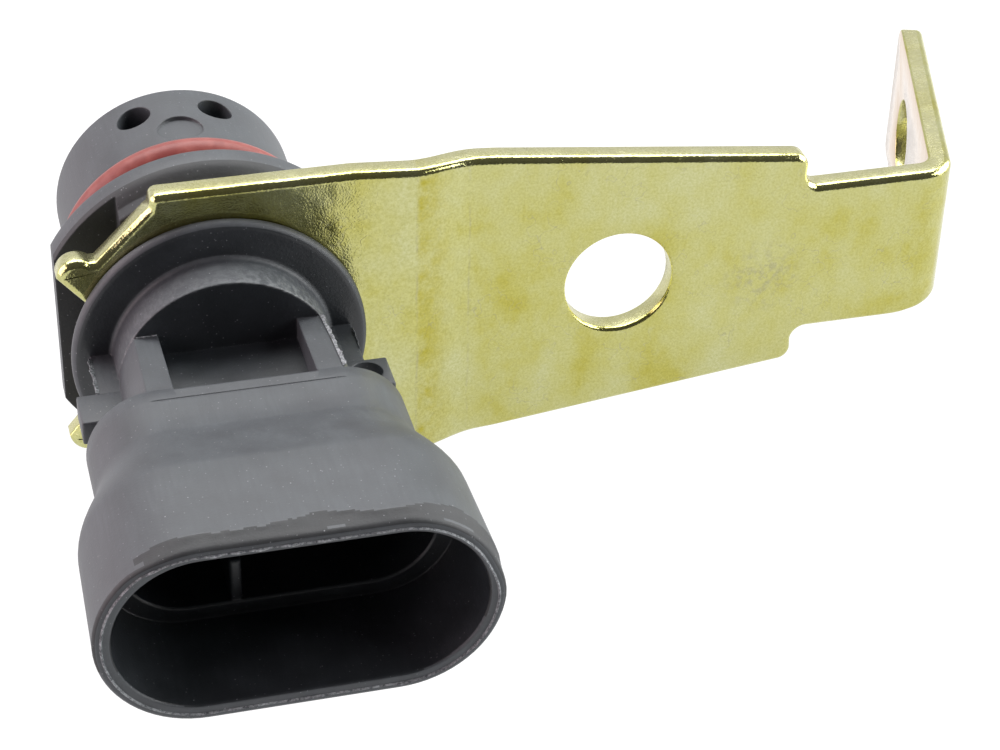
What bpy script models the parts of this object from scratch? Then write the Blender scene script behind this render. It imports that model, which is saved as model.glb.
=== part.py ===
"""Crankshaft position sensor on its steel mounting bracket.

Run with: blender --background --python part.py

The sensing nose points along +Y and its flat end face is the origin. The connector opens
towards -Y, the bracket's arm reaches out along +X, and the bracket's width stands along Z.
Positions along the sensor's axis are written as a depth from the nose face, in millimetres.
"""

import math

import bmesh
import bpy
from mathutils import Matrix, Vector

MM = 0.001

# Clearances
SEAT_GAP = 0.2       # between pieces that seat on each other
MOULD_GAP = 0.2      # round the inner pieces that the housing is moulded over

# Nose barrel
BARREL_R = 9.45
NOSE_ROUND = 0.5
NOSE_WALL = 1.0
PIN_HOLE_R = 1.4
PIN_HOLE_DEPTH = 3.1
PIN_HOLE_ANGLE = math.radians(19.9)
GATE_R = 1.75
GATE_DEPTH = 6.3
GATE_SINK = 0.3

# O-ring and its groove
RING_SECTION_R = 1.31
RING_R = 9.26
RING_DEPTH = 10.3
GROOVE_HALF_WIDTH = RING_SECTION_R + 0.35
GROOVE_R = RING_R - RING_SECTION_R - SEAT_GAP

# Rear flange that the bracket bears on
FLANGE_R = 13.0
FLANGE_REAR = 15.85
FLANGE_THICK = 2.1
FLANGE_RECESS = FLANGE_REAR + FLANGE_THICK
PAD_RISE = 2.05
FLANGE_PAD = FLANGE_RECESS + PAD_RISE
FLANGE_EDGE = 0.3
BEVEL_START = 1.7
BEVEL_MID = (0.25, 2.35)
BEVEL_END = (0.85, 2.85)
PAD_EDGE = 0.2
FLANGE_FLAT_X = -11.3
PAD_EDGE_X = -6.5
PAD_COLLAR_R = 9.0

# Bracket plate: its fork lies on the flange's pad, and a joggle sets its arm back from the fork
PLATE = 1.9
FORK_REAR = FLANGE_PAD + SEAT_GAP
FORK_FRONT = FORK_REAR + PLATE
JOGGLE = 1.3
JOGGLE_START_X = 14.5
JOGGLE_END_X = 20.2
PLATE_REAR = FORK_REAR - JOGGLE
PLATE_FRONT = PLATE_REAR + PLATE
FORK_OVERHANG = 0.15
FORK_HALF_WIDTH = FLANGE_R + FORK_OVERHANG
ARM_TAPER = 0.85
ARM_HALF_WIDTH = FORK_HALF_WIDTH - ARM_TAPER
ARM_START_X = 21.6
FORK_END_X = 10.4
FORK_CORNER_X = -4.5
FORK_CORNER_R = 0.65
FORK_STEP = 1.35
FORK_STEP_Z = FORK_HALF_WIDTH - FORK_STEP
NOTCH_X = -8.6
NOTCH_Z = 8.05
LOBE_X = -10.0
LOBE_Z = 6.9
LOBE_R = 1.5
LOBE_SLANT_Z = 2.8   # where the tip's slanting edge meets the waist's clearance
SHOULDER_HALF_WIDTH = 9.5
SHOULDER_X = 45.05
SHOULDER_ROUND = 1.15
END_HALF_WIDTH = 6.55
END_START_X = 46.15
END_DROP = 0.9       # the end's lower edge rises by this at the bend
BOLT_HOLE_X = 31.35
BOLT_HOLE_R = 4.28
DIE_ROLL = 0.6       # rounding that the punch leaves on the front edges
SHEAR_EDGE = 0.12    # the sharper rounding of the back edges

# Tab folded back from the arm's end
TAB_OUTER_X = 58.35
TAB_ANGLE = math.radians(74.0)
TAB_BEND_OUTER_R = 3.0
TAB_LENGTH = 24.2    # along its outer face, from the sharp corner that the bend rounds
TAB_HOLE_FROM_CORNER = 16.0
TAB_HOLE_R = 3.3
TAB_CORNER_R = 1.1

# Waist, clamp disc and hub
WAIST_R = 8.3
DISC_R = 11.0
DISC_REAR = FORK_FRONT + SEAT_GAP
DISC_REAR_EDGE = 0.25
DISC_THICK = 0.9
DISC_FRONT = DISC_REAR + DISC_THICK
DISC_EDGE = 0.35
HUB_R = 8.1
HUB_LENGTH = 3.3
HUB_FRONT = DISC_FRONT + HUB_LENGTH
SADDLE_END_R = 8.6
SADDLE_Z_REAR = 4.35
SADDLE_Z_FRONT = 5.0
POCKET_HALF_WIDTH = 5.05
POCKET_FLOOR_Z = 2.65

# Mould-line wings and their ears
WING_X = 9.7
WING_Z = (-0.6, 1.0)
EAR_X = 11.3
EAR_Z = (-0.75, 1.12)
EAR_SETBACK = 1.6
EAR_REAR = HUB_FRONT + EAR_SETBACK
EAR_LENGTH = 3.4
EAR_FRONT = EAR_REAR + EAR_LENGTH
EAR_HOLE_INSET = 1.6
EAR_HOLE_X = 9.5
EAR_HOLE_DEPTH = EAR_REAR + EAR_HOLE_INSET
EAR_HOLE_R = 1.2

# Connector: half width and half height of its sections
SADDLE_LENGTH = 7.6
NECK_REAR = HUB_FRONT + SADDLE_LENGTH
NECK = (11.42, 5.10)
NECK_LENGTH = 4.7
STEP_START = NECK_REAR + NECK_LENGTH
STEP_LENGTH = 6.8
STEP_END = STEP_START + STEP_LENGTH
BELL_REAR = (13.40, 7.05)
BELL_LENGTH = 8.8
MOUTH_DEPTH = STEP_END + BELL_LENGTH
MOUTH = (13.65, 7.25)
LIP_ROUND = 0.35
OPENING = (12.45, 6.00)
LEDGE_AHEAD = 0.6
LEDGE_DEPTH = STEP_END + LEDGE_AHEAD
LEDGE = (12.20, 5.65)
SOCKET = (10.80, 4.50)
SOCKET_LENGTH = 8.2
SOCKET_FLOOR = LEDGE_DEPTH - SOCKET_LENGTH
KEY_X = -3.06
KEY_THICK = 0.84
KEY_TOP_Z = -1.1

# Core inside the barrel
BORE_FRONT_R = 7.4
BORE_STEP = 8.1
BORE_REAR_R = 6.6
BORE_END = 24.0
STACK_R = 3.1
STACK_BORE_R = STACK_R + MOULD_GAP
CHIP = (4.4, 1.5, 3.8)
CHIP_DEPTH = NOSE_WALL + 0.7
POLE_THICK = 0.8
MAGNET_LENGTH = 7.2
BACK_THICK = 0.8
LEAD_PITCH = 1.27
LEAD_R = 0.22
LEAD_Z = 3.75
INSULATOR_THICK = 0.2
INSULATOR_GAP = 0.1
INSULATOR_HALF_WIDTH = 2.3
CHANNEL_HALF_WIDTH = INSULATOR_HALF_WIDTH + 0.3

# Circuit board on the carrier's tray
BOARD_START = 13.5
BOARD_END = 23.4
BOARD_HALF_WIDTH = 5.0
BOARD_THICK = 0.8
BLADE_THICK = 0.8
BLADE_WIDTH = 1.5
BOARD_TOP_Z = -BLADE_THICK / 2 - SEAT_GAP
TRAY_Z = BOARD_TOP_Z - BOARD_THICK - SEAT_GAP

# Terminals
JOINT_PITCH = 3.0
BLADE_PITCH = 6.0
BLADE_START = 19.8
SPREAD_SETBACK = 1.5
SPREAD_START = BORE_END + SPREAD_SETBACK
SPREAD_LENGTH = 7.0
SPREAD_END = SPREAD_START + SPREAD_LENGTH
TIP_SETBACK = 0.6
BLADE_TIP = LEDGE_DEPTH - TIP_SETBACK

TURN_STEPS = 48


def clear_scene():
    for obj in list(bpy.data.objects):
        bpy.data.objects.remove(obj, do_unlink=True)


def new_collection(name):
    collection = bpy.data.collections.new(name)
    bpy.context.scene.collection.children.link(collection)
    return collection


clear_scene()
PARTS = new_collection("crank_sensor")
TOOLS = new_collection("cutters")


def srgb(hex_code):
    """The linear colour of an sRGB hex code."""
    channels = [int(hex_code[i:i + 2], 16) / 255 for i in (0, 2, 4)]
    return tuple(c / 12.92 if c <= 0.04045 else ((c + 0.055) / 1.055) ** 2.4 for c in channels)


def material(name, hex_code, roughness, metallic=0.0):
    made = bpy.data.materials.new(name)
    made.use_nodes = True
    shader = made.node_tree.nodes["Principled BSDF"]
    shader.inputs["Base Color"].default_value = (*srgb(hex_code), 1.0)
    shader.inputs["Roughness"].default_value = roughness
    shader.inputs["Metallic"].default_value = metallic
    return made


HOUSING_PLASTIC = material("housing_plastic", "3A3B3E", 0.55)
CARRIER_PLASTIC = material("carrier_plastic", "1E1F21", 0.6)
SEAL_RUBBER = material("seal_rubber", "B8513F", 0.5)
PLATED_STEEL = material("plated_steel", "B9B263", 0.35, 1.0)
TINNED_BRASS = material("tinned_brass", "C9C3B4", 0.3, 1.0)
SOFT_STEEL = material("soft_steel", "8D8F92", 0.4, 1.0)
MAGNET_ALLOY = material("magnet_alloy", "5B5D61", 0.35, 1.0)
CHIP_RESIN = material("chip_resin", "1B1B1D", 0.5)
BOARD_LAMINATE = material("board_laminate", "2F5B3A", 0.5)
CERAMIC = material("ceramic", "A98F6B", 0.45)
FILM = material("film", "C07A2C", 0.4)


def add_object(name, bm, look=None, collection=None):
    """Turn a bmesh into a named object, in the parts or among the tools."""
    bmesh.ops.recalc_face_normals(bm, faces=bm.faces)
    mesh = bpy.data.meshes.new(name)
    bm.to_mesh(mesh)
    bm.free()
    obj = bpy.data.objects.new(name, mesh)
    (collection or PARTS).objects.link(obj)
    if look:
        mesh.materials.append(look)
    if collection is TOOLS:
        obj.hide_render = True
        obj.display_type = "WIRE"
    return obj


def smooth(obj, angle=35.0):
    obj.data.shade_smooth()
    obj.data.set_sharp_from_angle(angle=math.radians(angle))


def at(x, depth, z):
    """A point in metres from across, depth behind the nose face, and up, in millimetres."""
    return Vector((x * MM, -depth * MM, z * MM))


def box(name, xs, depths, zs, look=None, collection=None, bevel=0.0):
    """A box between pairs of x, depth and z, with its edges rounded by bevel."""
    bm = bmesh.new()
    size = at(xs[1] - xs[0], depths[0] - depths[1], zs[1] - zs[0])
    centre = at(sum(xs) / 2, sum(depths) / 2, sum(zs) / 2)
    bmesh.ops.create_cube(bm, size=1.0, matrix=Matrix.Translation(centre) @ Matrix.Diagonal((*size, 1.0)))
    if bevel:
        bmesh.ops.bevel(bm, geom=bm.edges[:], offset=bevel * MM, segments=2, profile=0.5,
                        affect="EDGES")
    return add_object(name, bm, look, collection)


def rod(name, centre, axis, radius, length, look=None, collection=None, segments=32):
    """A cylinder about centre, along the given axis."""
    bm = bmesh.new()
    turn = Vector((0, 0, 1)).rotation_difference(Vector(axis)).to_matrix().to_4x4()
    bmesh.ops.create_cone(bm, cap_ends=True, segments=segments, radius1=radius * MM,
                          radius2=radius * MM, depth=length * MM,
                          matrix=Matrix.Translation(centre) @ turn)
    obj = add_object(name, bm, look, collection)
    smooth(obj)
    return obj


def corner_arc(centre_r, centre_depth, radius, start, end, steps):
    """Points of a profile's rounded corner, as (radius, depth) pairs."""
    points = []
    for i in range(steps + 1):
        a = math.radians(start + (end - start) * i / steps)
        points.append((centre_r + radius * math.cos(a), centre_depth - radius * math.sin(a)))
    return points


def turned(name, profile, look=None, collection=None, steps=TURN_STEPS):
    """Turn a profile of (radius, depth) pairs about the sensor's axis with a Screw modifier."""
    bm = bmesh.new()
    verts = [bm.verts.new((r * MM, 0.0, -depth * MM)) for r, depth in profile]
    for a, b in zip(verts, verts[1:]):
        bm.edges.new((a, b))
    mesh = bpy.data.meshes.new(name)
    bm.to_mesh(mesh)
    bm.free()
    obj = bpy.data.objects.new(name, mesh)
    (collection or PARTS).objects.link(obj)
    obj.rotation_euler = (-math.pi / 2, 0.0, 0.0)
    screw = obj.modifiers.new("turn", "SCREW")
    screw.axis = "Z"
    screw.angle = 2 * math.pi
    screw.steps = screw.render_steps = steps
    screw.use_merge_vertices = True
    screw.merge_threshold = 1e-5
    screw.use_smooth_shade = True
    if look:
        mesh.materials.append(look)
    if collection is TOOLS:
        obj.hide_render = True
        obj.display_type = "WIRE"
    return obj


def prism(name, outline, xs, collection=TOOLS):
    """Extrude an outline of (depth, z) pairs across the given pair of x."""
    bm = bmesh.new()
    near = [bm.verts.new(at(xs[0], depth, z)) for depth, z in outline]
    face = bm.faces.new(near)
    made = bmesh.ops.extrude_face_region(bm, geom=[face])
    far = [v for v in made["geom"] if isinstance(v, bmesh.types.BMVert)]
    bmesh.ops.translate(bm, verts=far, vec=((xs[1] - xs[0]) * MM, 0.0, 0.0))
    return add_object(name, bm, None, collection)


def stadium(half_width, half_height, depth, arc_steps=10):
    """A ring of points round a section with flat top and bottom and round ends."""
    reach = half_width - half_height
    ring = []
    for side in (1, -1):
        for i in range(arc_steps + 1):
            a = side * math.pi / 2 - math.pi * i / arc_steps
            ring.append(at(side * reach + half_height * math.cos(a), depth,
                           half_height * math.sin(a)))
    return ring


def lofted(name, rings, look=None, collection=None):
    """Join rings of equal count with quads and close both ends."""
    bm = bmesh.new()
    rows = [[bm.verts.new(p) for p in ring] for ring in rings]
    for near, far in zip(rows, rows[1:]):
        for i in range(len(near)):
            j = (i + 1) % len(near)
            bm.faces.new((near[i], near[j], far[j], far[i]))
    bm.faces.new(rows[0])
    bm.faces.new(list(reversed(rows[-1])))
    obj = add_object(name, bm, look, collection)
    smooth(obj)
    return obj


def boolean(target, tool, operation="DIFFERENCE"):
    step = target.modifiers.new(tool.name, "BOOLEAN")
    step.operation = operation
    step.solver = "EXACT"
    step.object = tool


def ease(t):
    """The S of a blend that starts and ends level."""
    return t * t * (3 - 2 * t)


def strip_outline(path, width, tip=0.0):
    """The outline of a flat strip that follows a path of (x, depth), mitred at its turns."""
    left, right = [], []
    for i, (x, d) in enumerate(path):
        before = Vector(path[max(i - 1, 0)])
        after = Vector(path[min(i + 1, len(path) - 1)])
        here = Vector((x, d))
        into = (here - before).normalized() if i else (after - here).normalized()
        out = (after - here).normalized() if i < len(path) - 1 else into
        across = Vector((-(into + out).normalized().y, (into + out).normalized().x))
        half = width / 2 / max(across.dot(Vector((-into.y, into.x))), 0.5)
        if tip and i == len(path) - 1:
            half *= tip
        left.append(here + across * half)
        right.append(here - across * half)
    return left + right[::-1]


def flat_strip(name, outline, zs, look=None, collection=None):
    """A flat outline of (x, depth) given the thickness between two heights."""
    bm = bmesh.new()
    face = bm.faces.new([bm.verts.new(at(p[0], p[1], zs[0])) for p in outline])
    made = bmesh.ops.extrude_face_region(bm, geom=[face])
    top = [v for v in made["geom"] if isinstance(v, bmesh.types.BMVert)]
    bmesh.ops.translate(bm, verts=top, vec=(0.0, 0.0, (zs[1] - zs[0]) * MM))
    return add_object(name, bm, look, collection)


# Moulded housing

def housing_profile():
    """Outer profile from the nose face to the front of the saddle."""
    profile = [(0.0, 0.0)]
    profile += corner_arc(BARREL_R - NOSE_ROUND, NOSE_ROUND, NOSE_ROUND, 90, 0, 3)
    profile += [
        (BARREL_R, RING_DEPTH - GROOVE_HALF_WIDTH),
        (GROOVE_R, RING_DEPTH - GROOVE_HALF_WIDTH),
        (GROOVE_R, RING_DEPTH + GROOVE_HALF_WIDTH),
        (BARREL_R, RING_DEPTH + GROOVE_HALF_WIDTH),
        (BARREL_R, FLANGE_REAR),
    ]
    profile += corner_arc(FLANGE_R - FLANGE_EDGE, FLANGE_REAR + FLANGE_EDGE, FLANGE_EDGE, 90, 0, 2)
    profile += [(FLANGE_R - inset, FLANGE_REAR + ahead)
                for inset, ahead in ((0.0, BEVEL_START), BEVEL_MID, BEVEL_END)]
    pad_r = FLANGE_R - BEVEL_END[0]
    profile += [(pad_r, FLANGE_PAD - PAD_EDGE), (pad_r - PAD_EDGE, FLANGE_PAD)]
    profile += [(WAIST_R, FLANGE_PAD), (WAIST_R, DISC_REAR)]
    profile += [(DISC_R - DISC_REAR_EDGE, DISC_REAR), (DISC_R, DISC_REAR + DISC_REAR_EDGE)]
    profile += corner_arc(DISC_R - DISC_EDGE, DISC_FRONT - DISC_EDGE, DISC_EDGE, 0, -90, 3)
    profile += [(HUB_R + 0.3, DISC_FRONT), (HUB_R, DISC_FRONT + 0.3), (HUB_R, HUB_FRONT)]
    profile += [(SADDLE_END_R, NECK_REAR + 0.6), (0.0, NECK_REAR + 0.6)]
    return profile


def connector_rings():
    """Sections from the neck's rear face, out over the lip, and back in to the socket's floor."""
    rings = [stadium(*NECK, NECK_REAR), stadium(NECK[0], NECK[1] + 0.02, STEP_START)]
    steps = 6
    for i in range(1, steps + 1):
        wide, tall = ease(i / steps), ease(i / steps) ** 1.3
        rings.append(stadium(NECK[0] + (BELL_REAR[0] - NECK[0]) * wide,
                             NECK[1] + (BELL_REAR[1] - NECK[1]) * tall,
                             STEP_START + (STEP_END - STEP_START) * i / steps))
    rings.append(stadium(*MOUTH, MOUTH_DEPTH - LIP_ROUND))
    for a in (30, 60, 90):
        back = LIP_ROUND * (1 - math.cos(math.radians(a)))
        ahead = LIP_ROUND * math.sin(math.radians(a))
        rings.append(stadium(MOUTH[0] - back, MOUTH[1] - back, MOUTH_DEPTH - LIP_ROUND + ahead))
    rings.append(stadium(OPENING[0] + 0.1, OPENING[1] + 0.1, MOUTH_DEPTH))
    rings.append(stadium(*OPENING, MOUTH_DEPTH - 0.1))
    rings.append(stadium(*LEDGE, LEDGE_DEPTH))
    rings.append(stadium(*SOCKET, LEDGE_DEPTH))
    rings.append(stadium(SOCKET[0] - 0.15, SOCKET[1] - 0.15, SOCKET_FLOOR))
    return rings


def terminal_path(place):
    """The path of one terminal, for places -1, 0 and 1 across the connector."""
    path = [(place * JOINT_PITCH, BLADE_START)]
    if place:
        path += [(place * JOINT_PITCH, SPREAD_START), (place * BLADE_PITCH, SPREAD_END)]
    return path + [(place * BLADE_PITCH, BLADE_TIP - 0.8), (place * BLADE_PITCH, BLADE_TIP)]


def make_housing():
    body = turned("sensor_housing", housing_profile(), HOUSING_PLASTIC)

    # The flange's left side is flat, and its face drops back beside the bracket's fork tips.
    far = FLANGE_R + 4
    boolean(body, box("flange_flat", (-far, FLANGE_FLAT_X), (FLANGE_REAR - 0.4, FLANGE_PAD + 0.1),
                      (-far, far), None, TOOLS))
    recess = box("flange_recess", (-far, PAD_EDGE_X), (FLANGE_RECESS, FLANGE_PAD + 0.12),
                 (-far, far), None, TOOLS)
    boolean(recess, rod("recess_core", at(0, FLANGE_PAD, 0), (0, 1, 0), PAD_COLLAR_R,
                        4 * (FLANGE_PAD - FLANGE_RECESS), None, TOOLS, segments=TURN_STEPS))
    boolean(body, recess)

    # The saddle between hub and neck: flat above and below, with a pocket in its top.
    slope = (SADDLE_Z_FRONT - SADDLE_Z_REAR) / (NECK_REAR - HUB_FRONT)
    end = NECK_REAR + 1.5
    end_z = SADDLE_Z_FRONT + slope * 1.5
    for side, name in ((1, "saddle_top"), (-1, "saddle_bottom")):
        outline = [(HUB_FRONT, side * SADDLE_Z_REAR), (end, side * end_z), (end, side * far),
                   (HUB_FRONT, side * far)]
        boolean(body, prism(name, outline, (-far, far)))

    # Wings on the mould's parting plane, with an ear on each.
    boolean(body, box("wings", (-WING_X, WING_X), (DISC_FRONT - 0.7, EAR_FRONT - 0.3), WING_Z,
                      None, TOOLS), "UNION")
    boolean(body, box("ears", (-EAR_X, EAR_X), (EAR_REAR, EAR_FRONT), EAR_Z, None, TOOLS,
                      bevel=0.1), "UNION")
    boolean(body, rod("ear_hole", at(EAR_HOLE_X, EAR_HOLE_DEPTH, 0), (0, 0, 1), EAR_HOLE_R, 6.0,
                      None, TOOLS, segments=24))

    # Connector and its key rib.
    boolean(body, lofted("connector", connector_rings(), None, TOOLS), "UNION")
    boolean(body, box("saddle_pocket", (-POCKET_HALF_WIDTH, POCKET_HALF_WIDTH),
                      (HUB_FRONT, NECK_REAR + 0.2), (POCKET_FLOOR_Z, HUB_R + 1), None, TOOLS))
    boolean(body, box("key_rib", (KEY_X - KEY_THICK / 2, KEY_X + KEY_THICK / 2),
                      (SOCKET_FLOOR - 0.6, LEDGE_DEPTH - 0.1), (-SOCKET[1] - 0.4, KEY_TOP_Z),
                      None, TOOLS, bevel=0.2), "UNION")

    # The bore that the core fills, the two support-pin holes and the gate's recess.
    boolean(body, turned("core_bore", [(0.0, NOSE_WALL), (BORE_FRONT_R, NOSE_WALL),
                                       (BORE_FRONT_R, BORE_STEP), (BORE_REAR_R, BORE_STEP),
                                       (BORE_REAR_R, BORE_END), (0.0, BORE_END)], None, TOOLS))
    for side, name in ((-1, "pin_hole_left"), (1, "pin_hole_right")):
        out = Vector((side * math.sin(PIN_HOLE_ANGLE), 0.0, math.cos(PIN_HOLE_ANGLE)))
        wall_mid = (BORE_FRONT_R + BARREL_R) / 2
        boolean(body, rod(name, at(0, PIN_HOLE_DEPTH, 0) + out * wall_mid * MM, out, PIN_HOLE_R,
                          BARREL_R - BORE_FRONT_R + 2, None, TOOLS, segments=24))
    boolean(body, rod("gate_recess", at(0, GATE_DEPTH, BARREL_R - GATE_SINK + 1.0), (0, 0, 1),
                      GATE_R, 2.0, None, TOOLS, segments=32))

    # Slots that the terminals run through.
    for place, name in ((-1, "slot_a"), (0, "slot_b"), (1, "slot_c")):
        path = terminal_path(place)[:-1]
        path[0] = (path[0][0], BORE_END - 0.5)
        path[-1] = (path[-1][0], SOCKET_FLOOR + 0.5)
        half = BLADE_THICK / 2 + MOULD_GAP
        boolean(body, flat_strip(name, strip_outline(path, BLADE_WIDTH + 2 * MOULD_GAP),
                                 (-half, half), None, TOOLS))
    return body


# Bracket: cut flat, then joggled and folded

def arc_points(cx, cz, radius, start, end, steps):
    """Points on an arc in the plate's plane, angles in degrees from +X towards +Z."""
    return [(cx + radius * math.cos(math.radians(start + (end - start) * i / steps)),
             cz + radius * math.sin(math.radians(start + (end - start) * i / steps)))
            for i in range(steps + 1)]


def folded_length():
    """Length of flat strip from the shoulder's end to the tab's end, along the mid-plane."""
    bend_start, mid_r = tab_bend()
    return bend_start + mid_r * TAB_ANGLE + tab_straight()


def tab_bend():
    """Where the bend starts along X, and the radius of its mid-plane."""
    setback = TAB_BEND_OUTER_R * math.tan(TAB_ANGLE / 2)
    return TAB_OUTER_X - setback, TAB_BEND_OUTER_R - PLATE / 2


def tab_straight():
    """Length of the tab beyond its bend."""
    return TAB_LENGTH - TAB_BEND_OUTER_R * math.tan(TAB_ANGLE / 2)


def half_outline(rise):
    """One half of the flat blank's outline, from the tab's end to the middle of the fork.

    Rise is how much nearer the axis the tab's edge lies than the arm's end does.
    """
    end_x = folded_length()
    bend_start, _ = tab_bend()
    edge = END_HALF_WIDTH - rise
    half = arc_points(end_x - TAB_CORNER_R, edge - TAB_CORNER_R, TAB_CORNER_R, 0, 90, 4)
    half += [(bend_start + reach, edge + rise * ease(1 - (reach + 1.5) / 4.5))
             for reach in (3.0, 1.9, 0.8, -0.4, -1.5)]
    half += arc_points(END_START_X + SHOULDER_ROUND, END_HALF_WIDTH + SHOULDER_ROUND,
                       SHOULDER_ROUND, 270, 185, 5)
    half += arc_points(SHOULDER_X, SHOULDER_HALF_WIDTH - SHOULDER_ROUND, SHOULDER_ROUND, 5, 82, 5)
    half += [(ARM_START_X, ARM_HALF_WIDTH), (FORK_END_X, FORK_HALF_WIDTH)]
    # The tine: its corner, the slope down to its notch, and the lobe at its tip.
    half += arc_points(FORK_CORNER_X + FORK_CORNER_R, FORK_HALF_WIDTH - FORK_CORNER_R,
                       FORK_CORNER_R, 90, 180, 3)
    half += [(FORK_CORNER_X - 0.1, FORK_STEP_Z + 0.25), (FORK_CORNER_X - 0.4, FORK_STEP_Z)]
    half += [(NOTCH_X, NOTCH_Z)]
    half += arc_points(LOBE_X, LOBE_Z, LOBE_R, 50, 176, 7)
    # Inside of the tine: back along the waist's clearance.
    inner_r = WAIST_R + SEAT_GAP
    start = 180 - math.degrees(math.asin(LOBE_SLANT_Z / inner_r))
    half += arc_points(0, 0, inner_r, start, 0, 22)[:-1]
    return half


def fold(point):
    """Move a point of the flat blank to its place on the joggled and folded bracket."""
    x, y, z = point.x / MM, point.y / MM, point.z / MM
    mid = -(PLATE_REAR + PLATE_FRONT) / 2
    off = y - mid
    push = JOGGLE * ease(min(max((JOGGLE_END_X - x) / (JOGGLE_END_X - JOGGLE_START_X), 0), 1))
    bend_start, mid_r = tab_bend()
    turn = min(max((x - bend_start) / mid_r, 0.0), TAB_ANGLE)
    straight = max(x - bend_start - mid_r * TAB_ANGLE, 0.0)
    along = bend_start + (mid_r - off) * math.sin(turn) if turn else x
    back = mid_r - (mid_r - off) * math.cos(turn) if turn else off
    along += straight * math.cos(turn)
    back += straight * math.sin(turn)
    return Vector((along, mid + back - push, z)) * MM


def make_bracket():
    upper = half_outline(0.0)
    lower = [(x, -z) for x, z in reversed(half_outline(END_DROP))]
    outline = upper + [(WAIST_R + SEAT_GAP, 0.0)] + lower
    holes = [
        arc_points(BOLT_HOLE_X, 0, BOLT_HOLE_R, 0, 360, 32)[:-1],
        arc_points(tab_hole_station(), 0, TAB_HOLE_R, 0, 360, 24)[:-1],
    ]
    curve = bpy.data.curves.new("bracket_blank", "CURVE")
    curve.dimensions = "2D"
    curve.fill_mode = "BOTH"
    curve.extrude = PLATE / 2 * MM
    for loop in [outline] + holes:
        spline = curve.splines.new("POLY")
        spline.points.add(len(loop) - 1)
        for point, (x, z) in zip(spline.points, loop):
            point.co = (x * MM, z * MM, 0.0, 1.0)
        spline.use_cyclic_u = True
    guide = bpy.data.objects.new("bracket_blank", curve)
    TOOLS.objects.link(guide)
    guide.matrix_world = (Matrix.Translation((0, -(PLATE_REAR + PLATE_FRONT) / 2 * MM, 0))
                          @ Matrix.Rotation(math.pi / 2, 4, "X"))
    bpy.context.view_layer.update()
    graph = bpy.context.evaluated_depsgraph_get()
    mesh = bpy.data.meshes.new_from_object(guide.evaluated_get(graph))
    bm = bmesh.new()
    bm.from_mesh(mesh)
    bm.transform(guide.matrix_world)
    bpy.data.objects.remove(guide, do_unlink=True)
    bmesh.ops.remove_doubles(bm, verts=bm.verts, dist=1e-6)
    bmesh.ops.recalc_face_normals(bm, faces=bm.faces)
    bmesh.ops.dissolve_limit(bm, angle_limit=math.radians(1), verts=[], edges=bm.edges[:])
    # The edges are rounded, apart from the ones that face the waist.
    inner = (WAIST_R + 2 * SEAT_GAP) * MM
    for level, width, segments in ((PLATE_FRONT, DIE_ROLL, 3), (PLATE_REAR, SHEAR_EDGE, 1)):
        rim = [e for e in bm.edges if len(e.link_faces) == 2
               and all(abs(v.co.y + level * MM) < 1e-6 for v in e.verts)
               and any(math.hypot(v.co.x, v.co.z) > inner for v in e.verts)
               and abs(e.link_faces[0].normal.dot(e.link_faces[1].normal)) < 0.5]
        bmesh.ops.bevel(bm, geom=rim, offset=width * MM, segments=segments, profile=0.5,
                        affect="EDGES", clamp_overlap=False)
    bend_start, mid_r = tab_bend()
    cuts = [JOGGLE_START_X + (JOGGLE_END_X - JOGGLE_START_X) * i / 8 for i in range(9)]
    cuts += [bend_start + mid_r * TAB_ANGLE * i / 8 for i in range(9)]
    for x in cuts:
        bmesh.ops.bisect_plane(bm, geom=bm.verts[:] + bm.edges[:] + bm.faces[:], dist=1e-7,
                               plane_co=(x * MM, 0, 0), plane_no=(1, 0, 0))
    bmesh.ops.triangulate(bm, faces=[f for f in bm.faces if len(f.verts) > 4])
    for vert in bm.verts:
        vert.co = fold(vert.co)
    obj = add_object("bracket", bm, PLATED_STEEL)
    smooth(obj)
    return obj


def tab_hole_station():
    """The tab hole's place along the flat blank."""
    bend_start, mid_r = tab_bend()
    setback = TAB_BEND_OUTER_R * math.tan(TAB_ANGLE / 2)
    return bend_start + mid_r * TAB_ANGLE + TAB_HOLE_FROM_CORNER - setback


# Seal

def make_ring():
    bpy.ops.mesh.primitive_torus_add(
        major_segments=48, minor_segments=12, major_radius=RING_R * MM,
        minor_radius=RING_SECTION_R * MM, location=at(0, RING_DEPTH, 0),
        rotation=(math.pi / 2, 0, 0))
    ring = bpy.context.object
    ring.name = "o_ring"
    for holder in list(ring.users_collection):
        holder.objects.unlink(ring)
    PARTS.objects.link(ring)
    ring.data.materials.append(SEAL_RUBBER)
    ring.data.shade_smooth()
    return ring


# Core: carrier, sensing stack, board and leads

def stack_depths():
    """Start and end depth of the chip, pole plate, magnet and back plate."""
    spans, depth = {}, CHIP_DEPTH
    for name, thick in (("chip", CHIP[1]), ("pole", POLE_THICK), ("magnet", MAGNET_LENGTH),
                        ("back", BACK_THICK)):
        spans[name] = (depth, depth + thick)
        depth += thick + SEAT_GAP
    return spans


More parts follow.
